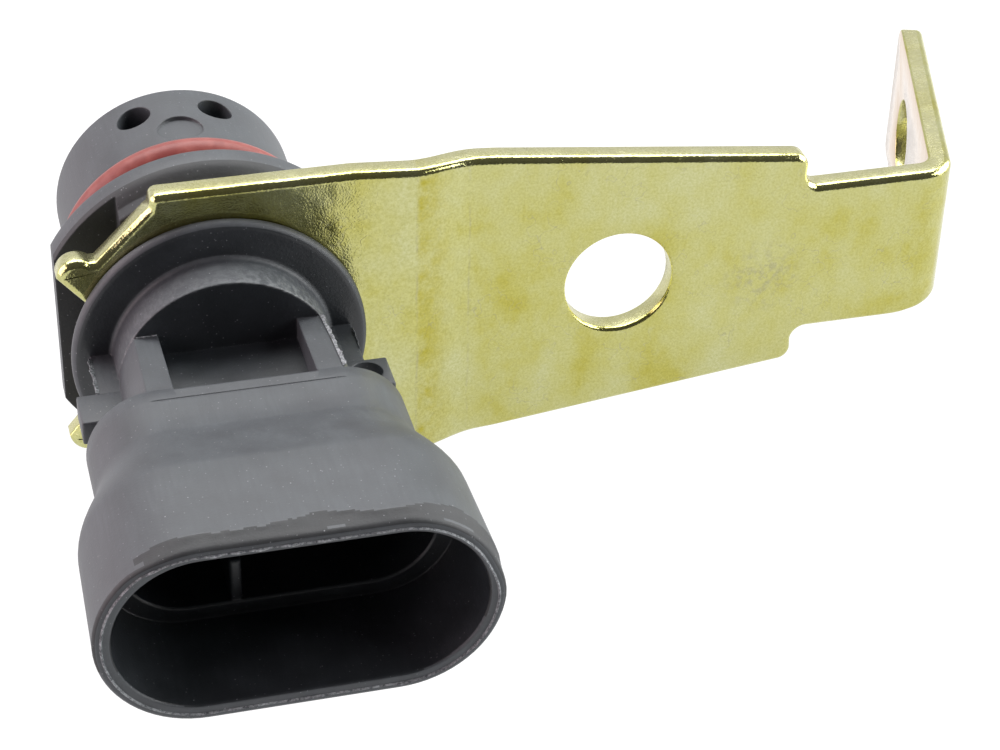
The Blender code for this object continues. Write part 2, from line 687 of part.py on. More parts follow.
def make_carrier():
    gap = MOULD_GAP
    start, end = NOSE_WALL + gap, BORE_END - gap
    carrier = turned("core_carrier", [
        (0.0, start), (BORE_FRONT_R - gap, start), (BORE_FRONT_R - gap, BORE_STEP - gap),
        (BORE_REAR_R - gap, BORE_STEP - gap), (BORE_REAR_R - gap, end), (0.0, end)],
        CARRIER_PLASTIC, steps=40)
    stack_end = stack_depths()["back"][1] + gap
    reach = stack_end - start + 1.0
    boolean(carrier, rod("stack_bore", at(0, start - 1.0 + reach / 2, 0), (0, 1, 0),
                         STACK_BORE_R, reach, None, TOOLS))
    boolean(carrier, box("lead_channel", (-CHANNEL_HALF_WIDTH, CHANNEL_HALF_WIDTH),
                         (start - 1.0, BOARD_START - 0.1),
                         (1.5, LEAD_Z + LEAD_R + 0.6), None, TOOLS))
    boolean(carrier, box("tray_cut", (-BORE_FRONT_R, BORE_FRONT_R),
                         (BOARD_START - SEAT_GAP - 0.1, BORE_END + 1.0), (TRAY_Z, BORE_FRONT_R),
                         None, TOOLS))
    return carrier


def make_stack():
    spans = stack_depths()
    box("hall_chip", (-CHIP[0] / 2, CHIP[0] / 2), spans["chip"], (-CHIP[2] / 2, CHIP[2] / 2),
        CHIP_RESIN, bevel=0.12)
    for name, part, look in (("pole_plate", "pole", SOFT_STEEL), ("magnet", "magnet", MAGNET_ALLOY),
                             ("back_plate", "back", SOFT_STEEL)):
        start, end = spans[part]
        rod(name, at(0, (start + end) / 2, 0), (0, 1, 0), STACK_R, end - start, look)
    seat = STACK_R + INSULATOR_GAP
    box("lead_insulator", (-INSULATOR_HALF_WIDTH, INSULATOR_HALF_WIDTH),
        (spans["pole"][0], BOARD_START - 2 * SEAT_GAP), (seat, seat + INSULATOR_THICK), FILM)


def wire(name, points, radius, look):
    """A round lead along a poly path, closed at its ends."""
    curve = bpy.data.curves.new(name, "CURVE")
    curve.dimensions = "3D"
    curve.bevel_depth = radius * MM
    curve.bevel_resolution = 2
    curve.use_fill_caps = True
    spline = curve.splines.new("POLY")
    spline.points.add(len(points) - 1)
    for point, place in zip(spline.points, points):
        point.co = (*place, 1.0)
    curve.materials.append(look)
    obj = bpy.data.objects.new(name, curve)
    PARTS.objects.link(obj)
    return obj


def make_chip_leads():
    chip = stack_depths()["chip"]
    mid = sum(chip) / 2
    down = BOARD_START + 0.9
    bend = 0.6
    for place, name in ((-1, "chip_lead_1"), (0, "chip_lead_2"), (1, "chip_lead_3")):
        x = place * LEAD_PITCH
        points = [at(x, mid, CHIP[2] / 2 + 0.15), at(x, mid, LEAD_Z - bend)]
        points += [at(x, mid + bend * (1 - math.cos(a)), LEAD_Z - bend + bend * math.sin(a))
                   for a in (math.pi / 6, math.pi / 3, math.pi / 2)]
        points += [at(x, down - bend, LEAD_Z)]
        points += [at(x, down - bend + bend * math.sin(a), LEAD_Z - bend + bend * math.cos(a))
                   for a in (math.pi / 6, math.pi / 3, math.pi / 2)]
        points += [at(x, down, BOARD_TOP_Z + 0.15)]
        wire(name, points, LEAD_R, TINNED_BRASS)


def make_board():
    box("circuit_board", (-BOARD_HALF_WIDTH, BOARD_HALF_WIDTH), (BOARD_START, BOARD_END),
        (BOARD_TOP_Z - BOARD_THICK, BOARD_TOP_Z), BOARD_LAMINATE)
    seat = BOARD_TOP_Z + 0.1
    fitted = (
        ("capacitor_supply", (-3.6, 16.0), (1.25, 2.0, 0.9), CERAMIC),
        ("capacitor_output", (3.6, 16.0), (1.25, 2.0, 0.9), CERAMIC),
        ("pull_up_resistor", (0.0, 17.4), (2.0, 1.25, 0.55), CHIP_RESIN),
        ("protection_diode", (-3.3, 18.4), (2.0, 1.3, 0.9), CHIP_RESIN),
    )
    for name, (x, depth), (wide, long, tall), look in fitted:
        box(name, (x - wide / 2, x + wide / 2), (depth - long / 2, depth + long / 2),
            (seat, seat + tall), look, bevel=0.06)


def make_terminals():
    half = BLADE_THICK / 2
    for place, name in ((-1, "terminal_a"), (0, "terminal_b"), (1, "terminal_c")):
        outline = strip_outline(terminal_path(place), BLADE_WIDTH, tip=0.6)
        flat_strip(name, outline, (-half, half), TINNED_BRASS)


make_housing()
make_bracket()
make_ring()
make_carrier()
make_stack()
make_chip_leads()
make_board()
make_terminals()
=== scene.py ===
"""Looks of a crankshaft position sensor and the folded steel bracket that carries it.

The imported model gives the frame: the sensing nose points along +Y with its flat face at the
origin, the connector opens towards -Y, the bracket's arm reaches along +X, and +Z is up.
Sizes are in millimetres. A depth is a distance behind the nose's face.
"""

import logging
import math
from collections.abc import Iterable, Sequence
from dataclasses import dataclass
from enum import Enum

import bmesh
import bpy
from mathutils import Matrix, Vector, noise


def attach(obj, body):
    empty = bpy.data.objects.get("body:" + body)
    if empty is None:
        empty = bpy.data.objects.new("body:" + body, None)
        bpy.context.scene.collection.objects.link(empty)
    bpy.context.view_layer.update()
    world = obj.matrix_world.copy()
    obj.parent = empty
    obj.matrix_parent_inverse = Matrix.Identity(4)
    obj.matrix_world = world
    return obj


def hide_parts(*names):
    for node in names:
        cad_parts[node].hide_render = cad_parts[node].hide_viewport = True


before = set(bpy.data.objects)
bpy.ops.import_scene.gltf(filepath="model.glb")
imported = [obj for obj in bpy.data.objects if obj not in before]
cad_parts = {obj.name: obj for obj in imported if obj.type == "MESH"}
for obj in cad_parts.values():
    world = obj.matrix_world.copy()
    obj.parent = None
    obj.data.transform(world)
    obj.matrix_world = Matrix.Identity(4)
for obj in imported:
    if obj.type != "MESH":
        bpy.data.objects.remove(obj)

MM = 0.001
ROOT = "root"
Colour = tuple[float, float, float, float]
Pair = tuple[float, float]

log = logging.getLogger("sensor_looks")


class Join(Enum):
    """How one solid is combined with another."""

    ADD = "UNION"
    CUT = "DIFFERENCE"


class Edge(Enum):
    """The two kinds of edge that a punch and die leave on a plate."""

    ROLLED = "rolled"
    SHEARED = "sheared"


class Wear(Enum):
    """What the moulding's skin has been through, and where shade is painted on it, numbered by
    material slot.
    """

    HANDLED = 0
    # Painted shade: a darker skin in the pocket, in the socket and on the faces behind the disc.
    SHADE_PAINTED = 1
    TORN = 2
    # Rubbed nylon on the mouth's worn band; the same darker nylon is painted shade on the flange's
    # faces.
    RUBBED_AND_SHADED = 3


def linear(hex_code: str) -> Colour:
    """Turn an sRGB hex colour into a linear one.

    Args:
        hex_code: Six hex digits.

    Returns:
        Linear red, green, blue and an alpha of one.
    """
    channels = (int(hex_code[i:i + 2], 16) / 255 for i in (0, 2, 4))
    red, green, blue = (c / 12.92 if c <= 0.04045 else ((c + 0.055) / 1.055) ** 2.4
                        for c in channels)
    return red, green, blue, 1.0


def at(x: float, depth: float, z: float) -> Vector:
    """Return the point in metres that lies x across, depth behind the nose, and z up."""
    return Vector((x, -depth, z)) * MM


def ease(t: float) -> float:
    """Return the S of a blend from nought to one that starts and ends level."""
    t = min(max(t, 0.0), 1.0)
    return t * t * (3 - 2 * t)


def wander(place: Vector, period_mm: float, seed: float = 0.0) -> float:
    """Return smooth random relief between about -1 and 1.

    Args:
        place: A point in metres.
        period_mm: Roughly how far apart the bumps are.
        seed: Moves the pattern, so that two uses differ.

    Returns:
        The relief at that point.
    """
    return noise.noise(place / (period_mm * MM) + Vector((seed, 1.7 * seed, 2.3 * seed)))


def feed(tree: bpy.types.NodeTree, node: bpy.types.Node,
         inputs: dict[str | int, object]) -> None:
    """Set or link a node's inputs.

    Args:
        tree: The node tree that the node is in.
        node: The node.
        inputs: A value, a socket or a node for each input, by name or number.
    """
    for socket, value in inputs.items():
        if isinstance(value, bpy.types.Node):
            value = next(out for out in value.outputs if out.enabled)
        if isinstance(value, bpy.types.NodeSocket):
            tree.links.new(value, node.inputs[socket])
        else:
            node.inputs[socket].default_value = value


def add_node(tree: bpy.types.NodeTree, kind: str,
             inputs: dict[str | int, object] | None = None,
             **settings: object) -> bpy.types.Node:
    """Add a shader node with its settings, values and links.

    Args:
        tree: The node tree of a material or a world.
        kind: The node's type without its ShaderNode prefix.
        inputs: A value, a socket or a node for each input, by name or number.
        settings: The node's own properties.

    Returns:
        The new node.
    """
    made = tree.nodes.new("ShaderNode" + kind)
    for name, value in settings.items():
        setattr(made, name, value)
    feed(tree, made, inputs or {})
    return made


def mottle(tree: bpy.types.NodeTree, size_mm: float | Sequence[float], detail: float = 3.0,
           rough: float = 0.55) -> bpy.types.Node:
    """Lay an uneven tone over a surface, fixed to the object.

    Args:
        tree: The node tree.
        size_mm: The size of one blotch, or one size for each axis.
        detail: How many finer octaves are added.
        rough: How strong each finer octave is.

    Returns:
        The node that gives the tone, between nought and one.
    """
    sizes = (size_mm,) * 3 if isinstance(size_mm, (int, float)) else size_mm
    place = add_node(tree, "TexCoord")
    scaled = add_node(tree, "Mapping", {"Vector": place.outputs["Object"],
                                        "Scale": tuple(1 / (size * MM) for size in sizes)})
    return add_node(tree, "TexNoise", {"Vector": scaled, "Scale": 1.0, "Detail": detail,
                                       "Roughness": rough})


def scratches(tree: bpy.types.NodeTree, size_mm: float, width: float,
              patch: Pair) -> bpy.types.Node:
    """Lay fine curling scratches in patches.

    Args:
        tree: The node tree.
        size_mm: How far apart the curls are.
        width: A line's width, as a share of the tone's range.
        patch: Tones of a slower mottle at which a patch fades in and is full.

    Returns:
        The node that gives one on a scratch and nought elsewhere.
    """
    curl = mottle(tree, size_mm, 2.0, 0.7)
    from_middle = add_node(tree, "Math", {0: curl, 1: 0.5}, operation="SUBTRACT")
    away = add_node(tree, "Math", {0: from_middle}, operation="ABSOLUTE")
    line = add_node(tree, "MapRange", {"Value": away, "From Max": width, "To Min": 1.0,
                                       "To Max": 0.0}, interpolation_type="SMOOTHSTEP")
    where = add_node(tree, "MapRange", {"Value": mottle(tree, 2.3 * size_mm, 2.0),
                                        "From Min": patch[0], "From Max": patch[1]})
    return add_node(tree, "Math", {0: line, 1: where}, operation="MULTIPLY")


class Finish:
    """What every finish has: a name, and a node material that starts under that name."""

    name: str

    def start(self) -> tuple[bpy.types.Material, bpy.types.NodeTree, bpy.types.Node]:
        """Start the material.

        Returns:
            The new material, its node tree and its main shader.
        """
        made = bpy.data.materials.new(self.name)
        made.use_nodes = True
        return made, made.node_tree, made.node_tree.nodes["Principled BSDF"]


@dataclass(frozen=True)
class MouldedNylon(Finish):
    """Black nylon 66 with short glass fibre, moulded in a spark-eroded steel tool.

    The fibres leave a dry satin skin with tiny pale flecks and faint streaks along the flow, so
    it greys where it faces the light and stays nearly black where it doesn't.
    """

    name: str = "moulded_nylon"
    skin: str = "36393D"
    bloom: str = "454A4E"
    fleck: str = "989A9E"
    scuffed: str = "7A7E80"
    ior: float = 1.53
    roughness: Pair = (0.50, 0.56)
    # The tool's spark-eroded grain.
    erosion_mm: float = 0.20
    erosion_deep_mm: float = 0.014
    # Flow lines run along the moulding.
    streak_mm: tuple[float, float, float] = (0.30, 3.0, 0.30)
    streak_deep_mm: float = 0.010
    cloud_mm: float = 3.2
    # Fibre ends show coarser than the real hundredth of a millimetre.
    fleck_mm: float = 0.36
    edge_mm: float = 0.18
    # The hub's round surface is brushed by handling, fully from brushed_x to the right.
    brushed_radius: float = 8.4
    brushed_depths: Pair = (23.4, 26.6)
    brushed_x: float = 4.5
    brush_mm: tuple[float, float, float] = (0.9, 0.7, 0.22)
    brushed_share: float = 0.6

    def make(self) -> bpy.types.Material:
        """Make the material.

        Returns:
            The material.
        """
        made, tree, shader = self.start()
        cloud = mottle(tree, self.cloud_mm, 4.0, 0.6)
        streak = mottle(tree, self.streak_mm, 2.0)
        erosion = mottle(tree, self.erosion_mm, 2.0, 0.6)
        bloom = add_node(tree, "MapRange", {"Value": cloud, "From Min": 0.28, "From Max": 0.78})
        flow = add_node(tree, "MapRange", {"Value": streak, "From Min": 0.3, "From Max": 0.7,
                                           "To Min": 0.5})
        tone = add_node(tree, "Math", {0: bloom, 1: flow}, operation="MULTIPLY")
        colour = add_node(tree, "Mix", {0: tone, 6: linear(self.skin), 7: linear(self.bloom)},
                          data_type="RGBA")
        colour = add_node(tree, "Mix", {0: self.flecks(tree, erosion), 6: colour,
                                        7: linear(self.fleck)}, data_type="RGBA")
        colour = add_node(tree, "Mix", {0: self.scuff_patch(tree), 6: colour,
                                        7: linear(self.scuffed)}, data_type="RGBA")
        gloss = add_node(tree, "MapRange", {"Value": cloud, "From Min": 0.3, "From Max": 0.7,
                                            "To Min": self.roughness[0],
                                            "To Max": self.roughness[1]})
        edge = add_node(tree, "Bevel", {"Radius": self.edge_mm * MM}, samples=6)
        skin = add_node(tree, "Bump", {"Height": erosion, "Distance": self.erosion_deep_mm * MM,
                                       "Normal": edge})
        skin = add_node(tree, "Bump", {"Height": streak, "Distance": self.streak_deep_mm * MM,
                                       "Normal": skin})
        feed(tree, shader, {"Base Color": colour, "Roughness": gloss, "Normal": skin,
                            "IOR": self.ior})
        return made

    def flecks(self, tree: bpy.types.NodeTree, erosion: bpy.types.Node) -> bpy.types.Node:
        """Scatter the pale ends of the glass fibres.

        Args:
            tree: The node tree.
            erosion: The skin's grain, which hides most of them.

        Returns:
            The node that gives their share.
        """
        place = add_node(tree, "TexCoord")
        scaled = add_node(tree, "Mapping", {"Vector": place.outputs["Object"],
                                            "Scale": (1 / (self.fleck_mm * MM),) * 3})
        cells = add_node(tree, "TexVoronoi", {"Vector": scaled, "Scale": 1.0})
        dots = add_node(tree, "MapRange", {"Value": cells.outputs["Distance"], "From Min": 0.08,
                                           "From Max": 0.18, "To Min": 1.0, "To Max": 0.0})
        some = add_node(tree, "MapRange", {"Value": erosion, "From Min": 0.5, "From Max": 0.66,
                                           "To Max": 0.6})
        return add_node(tree, "Math", {0: dots, 1: some}, operation="MULTIPLY")

    def scuff_patch(self, tree: bpy.types.NodeTree) -> bpy.types.Node:
        """Brush marks round the hub, strongest at the right and near its rim.

        Args:
            tree: The node tree.

        Returns:
            The node that gives their share.
        """
        radius, (front, rear) = self.brushed_radius, self.brushed_depths
        place = add_node(tree, "TexCoord").outputs["Object"]
        flat = add_node(tree, "VectorMath", {0: place, 1: (1, 0, 1)}, operation="MULTIPLY")
        out = add_node(tree, "VectorMath", {0: flat}, operation="LENGTH").outputs["Value"]
        inside = add_node(tree, "MapRange", {"Value": out, "From Min": radius * MM,
                                             "From Max": (radius + 0.1) * MM, "To Min": 1.0,
                                             "To Max": 0.0})
        outside = add_node(tree, "MapRange", {"Value": out, "From Min": (radius - 0.5) * MM,
                                              "From Max": (radius - 0.4) * MM})
        point = add_node(tree, "SeparateXYZ", {"Vector": place})
        ahead = add_node(tree, "MapRange", {"Value": point.outputs["Y"],
                                            "From Min": -rear * MM, "From Max": -front * MM})
        along = add_node(tree, "MapRange", {"Value": ahead, "From Max": 0.98, "To Min": 1.0,
                                            "To Max": 0.25})
        inner = add_node(tree, "Math", {0: point.outputs["Y"], 1: -rear * MM},
                         operation="GREATER_THAN")
        right = add_node(tree, "MapRange", {"Value": point.outputs["X"], "From Min": 0.0,
                                            "From Max": self.brushed_x * MM, "To Min": 0.35,
                                            "To Max": 1.0})
        brushed = add_node(tree, "MapRange", {"Value": mottle(tree, self.brush_mm, 4.0, 0.7),
                                              "From Min": 0.44, "From Max": 0.6})
        share = add_node(tree, "Math", {0: inside, 1: self.brushed_share},
                         operation="MULTIPLY")
        for other in (outside, along, inner, right, brushed):
            share = add_node(tree, "Math", {0: share, 1: other}, operation="MULTIPLY")
        return share


@dataclass(frozen=True)
class TornNylon(Finish):
    """The same nylon where flash has torn off a parting line, which whitens it."""

    name: str = "torn_nylon"
    pale: str = "8E9295"
    dark: str = "3C4044"
    ior: float = 1.53
    roughness: float = 0.7
    tear_mm: float = 0.22
    tear_deep_mm: float = 0.03

    def make(self) -> bpy.types.Material:
        """Make the material.

        Returns:
            The material.
        """
        made, tree, shader = self.start()
        tear = mottle(tree, self.tear_mm, 3.0, 0.65)
        share = add_node(tree, "MapRange", {"Value": tear, "From Min": 0.36, "From Max": 0.64})
        colour = add_node(tree, "Mix", {0: share, 6: linear(self.dark), 7: linear(self.pale)},
                          data_type="RGBA")
        skin = add_node(tree, "Bump", {"Height": tear, "Distance": self.tear_deep_mm * MM})
        feed(tree, shader, {"Base Color": colour, "Normal": skin, "Roughness": self.roughness,
                            "IOR": self.ior})
        return made


@dataclass(frozen=True)
class ChromatedZinc(Finish):
    """Bright zinc plate on cold-rolled steel, passivated in yellow chromate.

    A thin coloured film over a bright metal: a greenish straw that wanders to stronger yellow,
    nearly a mirror under its fine pebble, with grey hairlines from handling and a rubbed patch.
    Grey lines of painted shade run along the joggle's bends, and the tab's face towards the sensor
    carries a painted pink reflection over the film's own pink bloom.
    """

    name: str = "chromated_zinc"
    straw: str = "C8C896"
    gold: str = "C0BC6C"
    deep: str = "B5AD4A"
    rubbed: str = "A5A38C"
    # Pink of the tab's inner face: painted reflection of the pink side light, with the film's
    # bloom.
    blush_and_reflection: str = "D6BEB4"
    metallic: float = 0.93
    roughness: Pair = (0.08, 0.14)
    cloud_mm: tuple[float, float, float] = (6.0, 6.0, 8.0)
    fine_mm: float = 1.4
    # The plate's pebble, drawn a few times coarser than its real crystals.
    pebble_mm: float = 0.16
    pebble_deep_mm: float = 0.016
    wave_mm: float = 1.6
    wave_deep_mm: float = 0.05
    grain: str = "E6E6D2"
    grain_mm: float = 0.2
    # Hairlines are nearly a tenth of a millimetre wide here, where real ones are thinner.
    scratch_mm: float = 2.4
    scratch_width: float = 0.010
    scratch_deep_mm: float = 0.004
    scratch_share: float = 0.45
    edge_mm: float = 0.08
    # The joggle's bend lines, where a grey line of painted shade is drawn.
    creases: Pair = (15.0, 19.3)
    crease_mm: float = 0.15
    crease_share: float = 0.45
    smudge: tuple[float, float, float] = (43.0, 20.8, -1.0)
    smudge_mm: float = 4.0
    # Where the painted pink reflection starts on the tab, and how strong it is.
    blush_and_reflection_from: Pair = (54.0, 57.0)
    blush_and_reflection_share: float = 0.75

    def make(self) -> bpy.types.Material:
        """Make the material.

        Returns:
            The material.
        """
        made, tree, shader = self.start()
        cloud = mottle(tree, self.cloud_mm, 5.0, 0.6)
        fine = mottle(tree, self.fine_mm, 3.0, 0.6)
        gold = add_node(tree, "MapRange", {"Value": cloud, "From Min": 0.36, "From Max": 0.66})
        colour = add_node(tree, "Mix", {0: gold, 6: linear(self.straw), 7: linear(self.gold)},
                          data_type="RGBA")
        pool = add_node(tree, "MapRange", {"Value": cloud, "From Min": 0.54, "From Max": 0.72})
        patchy = add_node(tree, "MapRange", {"Value": fine, "From Min": 0.4, "From Max": 0.7,
                                             "To Min": 0.2, "To Max": 0.9})
        deep = add_node(tree, "Math", {0: pool, 1: patchy}, operation="MULTIPLY")
        deep = add_node(tree, "Math", {0: deep, 1: self.drawn_band(tree, patchy)},
                        operation="MAXIMUM")
        colour = add_node(tree, "Mix", {0: deep, 6: colour, 7: linear(self.deep)},
                          data_type="RGBA")
        lines = scratches(tree, self.scratch_mm, self.scratch_width, (0.48, 0.60))
        faint = add_node(tree, "Math", {0: lines, 1: self.scratch_share}, operation="MULTIPLY")
        wear = add_node(tree, "Math", {0: faint, 1: self.rubbed_patch(tree)},
                        operation="MAXIMUM")
        # Grey lines of painted shade along the joggle's bends.
        for crease in self.creases:
            wear = add_node(tree, "Math", {0: wear, 1: self.crease(tree, crease)},
                            operation="MAXIMUM")
        # Rubbed grey for hairlines and the rubbed patch, and as painted shade along the bends.
        colour = add_node(tree, "Mix", {0: wear, 6: colour, 7: linear(self.rubbed)},
                          data_type="RGBA")
        fleck = add_node(tree, "MapRange", {"Value": mottle(tree, self.grain_mm, 2.0, 0.7),
                                            "From Min": 0.3, "From Max": 0.7})
        fleck = add_node(tree, "Mix", {0: fleck, 6: linear(self.grain), 7: linear("FFFFFF")},
                         data_type="RGBA")
        colour = add_node(tree, "Mix", {0: 1.0, 6: colour, 7: fleck}, data_type="RGBA",
                          blend_type="MULTIPLY")
        # Painted pink reflection, with the film's bloom, on the tab's faces turned towards -X.
        colour = add_node(tree, "Mix", {0: self.blush_and_reflection_side(tree), 6: colour,
                                        7: linear(self.blush_and_reflection)}, data_type="RGBA")
        gloss = add_node(tree, "MapRange", {"Value": fine, "From Min": 0.3, "From Max": 0.7,
                                            "To Min": self.roughness[0],
                                            "To Max": self.roughness[1]})
        dull = add_node(tree, "Math", {0: wear, 1: 0.12, 2: gloss}, operation="MULTIPLY_ADD")
        edge = add_node(tree, "Bevel", {"Radius": self.edge_mm * MM}, samples=6)
        edge = add_node(tree, "Bump", {"Height": mottle(tree, self.wave_mm, 1.0),
                                       "Distance": self.wave_deep_mm * MM,
                                       "Normal": edge})
        skin = add_node(tree, "Bump", {"Height": mottle(tree, self.pebble_mm, 2.0),
                                       "Distance": self.pebble_deep_mm * MM, "Normal": edge})
        skin = add_node(tree, "Bump", {"Height": lines, "Normal": skin,
                                       "Distance": -self.scratch_deep_mm * MM})
        feed(tree, shader, {"Base Color": colour, "Roughness": dull, "Normal": skin,
                            "Metallic": self.metallic})
        return made

    def crease(self, tree: bpy.types.NodeTree, across: float) -> bpy.types.Node:
        """Draw a broken grey line of painted shade where the plate was pressed into a bend.

        Args:
            tree: The node tree.
            across: Where the line lies along the arm.

        Returns:
            The node that gives its share.
        """
        place = add_node(tree, "TexCoord")
        wave = add_node(tree, "MapRange", {"Value": mottle(tree, 2.5, 2.0),
                                           "To Min": (across - 0.25) * MM,
                                           "To Max": (across + 0.25) * MM})
        point = add_node(tree, "SeparateXYZ", {"Vector": place.outputs["Object"]})
        off = add_node(tree, "Math", {0: point.outputs["X"], 1: wave}, operation="SUBTRACT")
        off = add_node(tree, "Math", {0: off}, operation="ABSOLUTE")
        line = add_node(tree, "MapRange", {"Value": off, "From Max": self.crease_mm * MM,
                                           "To Min": self.crease_share, "To Max": 0.0})
        broken = add_node(tree, "MapRange", {"Value": mottle(tree, 2.6, 4.0, 0.75),
                                             "From Min": 0.42, "From Max": 0.62})
        return add_node(tree, "Math", {0: line, 1: broken}, operation="MULTIPLY")

    def drawn_band(self, tree: bpy.types.NodeTree, patchy: bpy.types.Node) -> bpy.types.Node:
        """Deepen the film in a band beside the first crease, where the die drew the plate.

        Args:
            tree: The node tree.
            patchy: The tone that breaks the band up.

        Returns:
            The node that gives its share.
        """
        first, second = self.creases
        place = add_node(tree, "TexCoord")
        point = add_node(tree, "SeparateXYZ", {"Vector": place.outputs["Object"]})
        start = add_node(tree, "MapRange", {"Value": point.outputs["X"],
                                            "From Min": (first - 0.1) * MM,
                                            "From Max": (first + 0.3) * MM})
        fade = add_node(tree, "MapRange", {"Value": point.outputs["X"],
                                           "From Min": (first + 0.6) * MM,
                                           "From Max": (second - 1.3) * MM,
                                           "To Min": 1.3, "To Max": 0.0})
        band = add_node(tree, "Math", {0: start, 1: fade}, operation="MULTIPLY")
        return add_node(tree, "Math", {0: band, 1: patchy}, operation="MULTIPLY")

    def rubbed_patch(self, tree: bpy.types.NodeTree) -> bpy.types.Node:
        """Dull a patch beside the bolt hole, where a tool has rubbed.

        Args:
            tree: The node tree.

        Returns:
            The node that gives its share.
        """
        place = add_node(tree, "TexCoord")
        away = add_node(tree, "VectorMath", {0: place.outputs["Object"], 1: at(*self.smudge)},
                        operation="DISTANCE")
        near = add_node(tree, "MapRange", {"Value": away.outputs["Value"],
                                           "From Max": self.smudge_mm * MM, "To Min": 1.0,
                                           "To Max": 0.0})
        broken = add_node(tree, "MapRange", {"Value": mottle(tree, 0.9, 4.0, 0.75),
                                             "From Min": 0.47, "From Max": 0.60,
                                             "To Max": 0.7})
        return add_node(tree, "Math", {0: near, 1: broken}, operation="MULTIPLY")

    def blush_and_reflection_side(self, tree: bpy.types.NodeTree) -> bpy.types.Node:
        """Tint the tab's face towards the sensor pink: a painted reflection of the pink side
        light, over the film's own pink bloom.

        Args:
            tree: The node tree.

        Returns:
            The node that gives its share.
        """
        place = add_node(tree, "TexCoord")
        side = add_node(tree, "SeparateXYZ", {"Vector": place.outputs["Normal"]})
        point = add_node(tree, "SeparateXYZ", {"Vector": place.outputs["Object"]})
        inward = add_node(tree, "MapRange", {"Value": side.outputs["X"], "From Min": -0.5,
                                             "From Max": -0.9})
        folded = add_node(tree, "MapRange", {"Value": point.outputs["X"],
                                             "From Min": self.blush_and_reflection_from[0] * MM,
                                             "From Max": self.blush_and_reflection_from[1] * MM,
                                             "To Max": self.blush_and_reflection_share})
        return add_node(tree, "Math", {0: inward, 1: folded}, operation="MULTIPLY")


@dataclass(frozen=True)
class SealRubber(Finish):
    """Orange-red silicone rubber, compression moulded: soft, dry and slightly dusty."""

    name: str = "seal_rubber"
    body: str = "7A3A36"
    dust: str = "90514A"
    ior: float = 1.41
    roughness: float = 0.42
    dust_mm: float = 1.2
    bloom_mm: float = 0.2
    bloom_deep_mm: float = 0.006

    def make(self) -> bpy.types.Material:
        """Make the material.

        Returns:
            The material.
        """
        made, tree, shader = self.start()
        dust = add_node(tree, "MapRange", {"Value": mottle(tree, self.dust_mm, 3.0),
                                           "From Min": 0.4, "From Max": 0.8})
        colour = add_node(tree, "Mix", {0: dust, 6: linear(self.body), 7: linear(self.dust)},
                          data_type="RGBA")
        skin = add_node(tree, "Bump", {"Height": mottle(tree, self.bloom_mm, 2.0),
                                       "Distance": self.bloom_deep_mm * MM})
        feed(tree, shader, {"Base Color": colour, "Normal": skin, "Roughness": self.roughness,
                            "IOR": self.ior})
        return made


@dataclass(frozen=True)
class InnerFinish(Finish):
    """A piece inside: moulded resin, fired clay, film, or a drawn and tinned metal.

    Each has a fine even tone. On a metal the tone runs in lines along the drawing.
    """

    name: str
    body: str
    tone: str
    roughness: float = 0.5
    grain_mm: tuple[float, float, float] = (0.3, 0.3, 0.3)
    metallic: float = 0.0
    grain_deep_mm: float = 0.006

    def make(self) -> bpy.types.Material:
        """Make the material.

        Returns:
            The material.
        """
        made, tree, shader = self.start()
        grain = mottle(tree, self.grain_mm, 3.0)
        share = add_node(tree, "MapRange", {"Value": grain, "From Min": 0.32, "From Max": 0.68})
        colour = add_node(tree, "Mix", {0: share, 6: linear(self.body), 7: linear(self.tone)},
                          data_type="RGBA")
        skin = add_node(tree, "Bump", {"Height": grain, "Distance": self.grain_deep_mm * MM})
        feed(tree, shader, {"Base Color": colour, "Normal": skin, "Roughness": self.roughness,
                            "Metallic": self.metallic})
        return made


def closed_loft(rings: Sequence[Sequence[Vector]]) -> bmesh.types.BMesh:
    """Join rings of equal count into one closed surface.

    Args:
        rings: Rings of points in metres, in order along the surface.

    Returns:
        The mesh, with a face across its first and its last ring.
    """
    bm = bmesh.new()
    rows = [[bm.verts.new(p) for p in ring] for ring in rings]
    for near, far in zip(rows, rows[1:]):
        for i, vert in enumerate(near):
            j = (i + 1) % len(near)
            bm.faces.new((vert, near[j], far[j], far[i]))
    bm.faces.new(rows[0])
    bm.faces.new(list(reversed(rows[-1])))
    bmesh.ops.recalc_face_normals(bm, faces=bm.faces)
    return bm


def circle(radius: float, depth: float, steps: int = 128) -> list[Vector]:
    """Return a ring of points round the sensor's axis."""
    turns = (2 * math.pi * i / steps for i in range(steps))
    return [at(radius * math.cos(a), depth, radius * math.sin(a)) for a in turns]


def stadium(half_width: float, half_height: float, depth: float, arc_steps: int = 36,
            flat_steps: int = 44) -> list[Vector]:
    """Return a ring with a flat top and bottom and round ends.

    Args:
        half_width: Half its size across.
        half_height: Half its size up, which is also the ends' radius.
        depth: Its place behind the nose's face.
        arc_steps: Steps round each end.
        flat_steps: Steps along the top and along the bottom.

    Returns:
        The ring's points in metres.
    """
    reach = half_width - half_height
    ring = []
    for side in (1, -1):
        for i in range(arc_steps + 1):
            a = side * math.pi / 2 - math.pi * i / arc_steps
            ring.append(at(side * reach + half_height * math.cos(a), depth,
                           half_height * math.sin(a)))
        for i in range(1, flat_steps):
            ring.append(at(side * reach * (1 - 2 * i / flat_steps), depth, -side * half_height))
    return ring


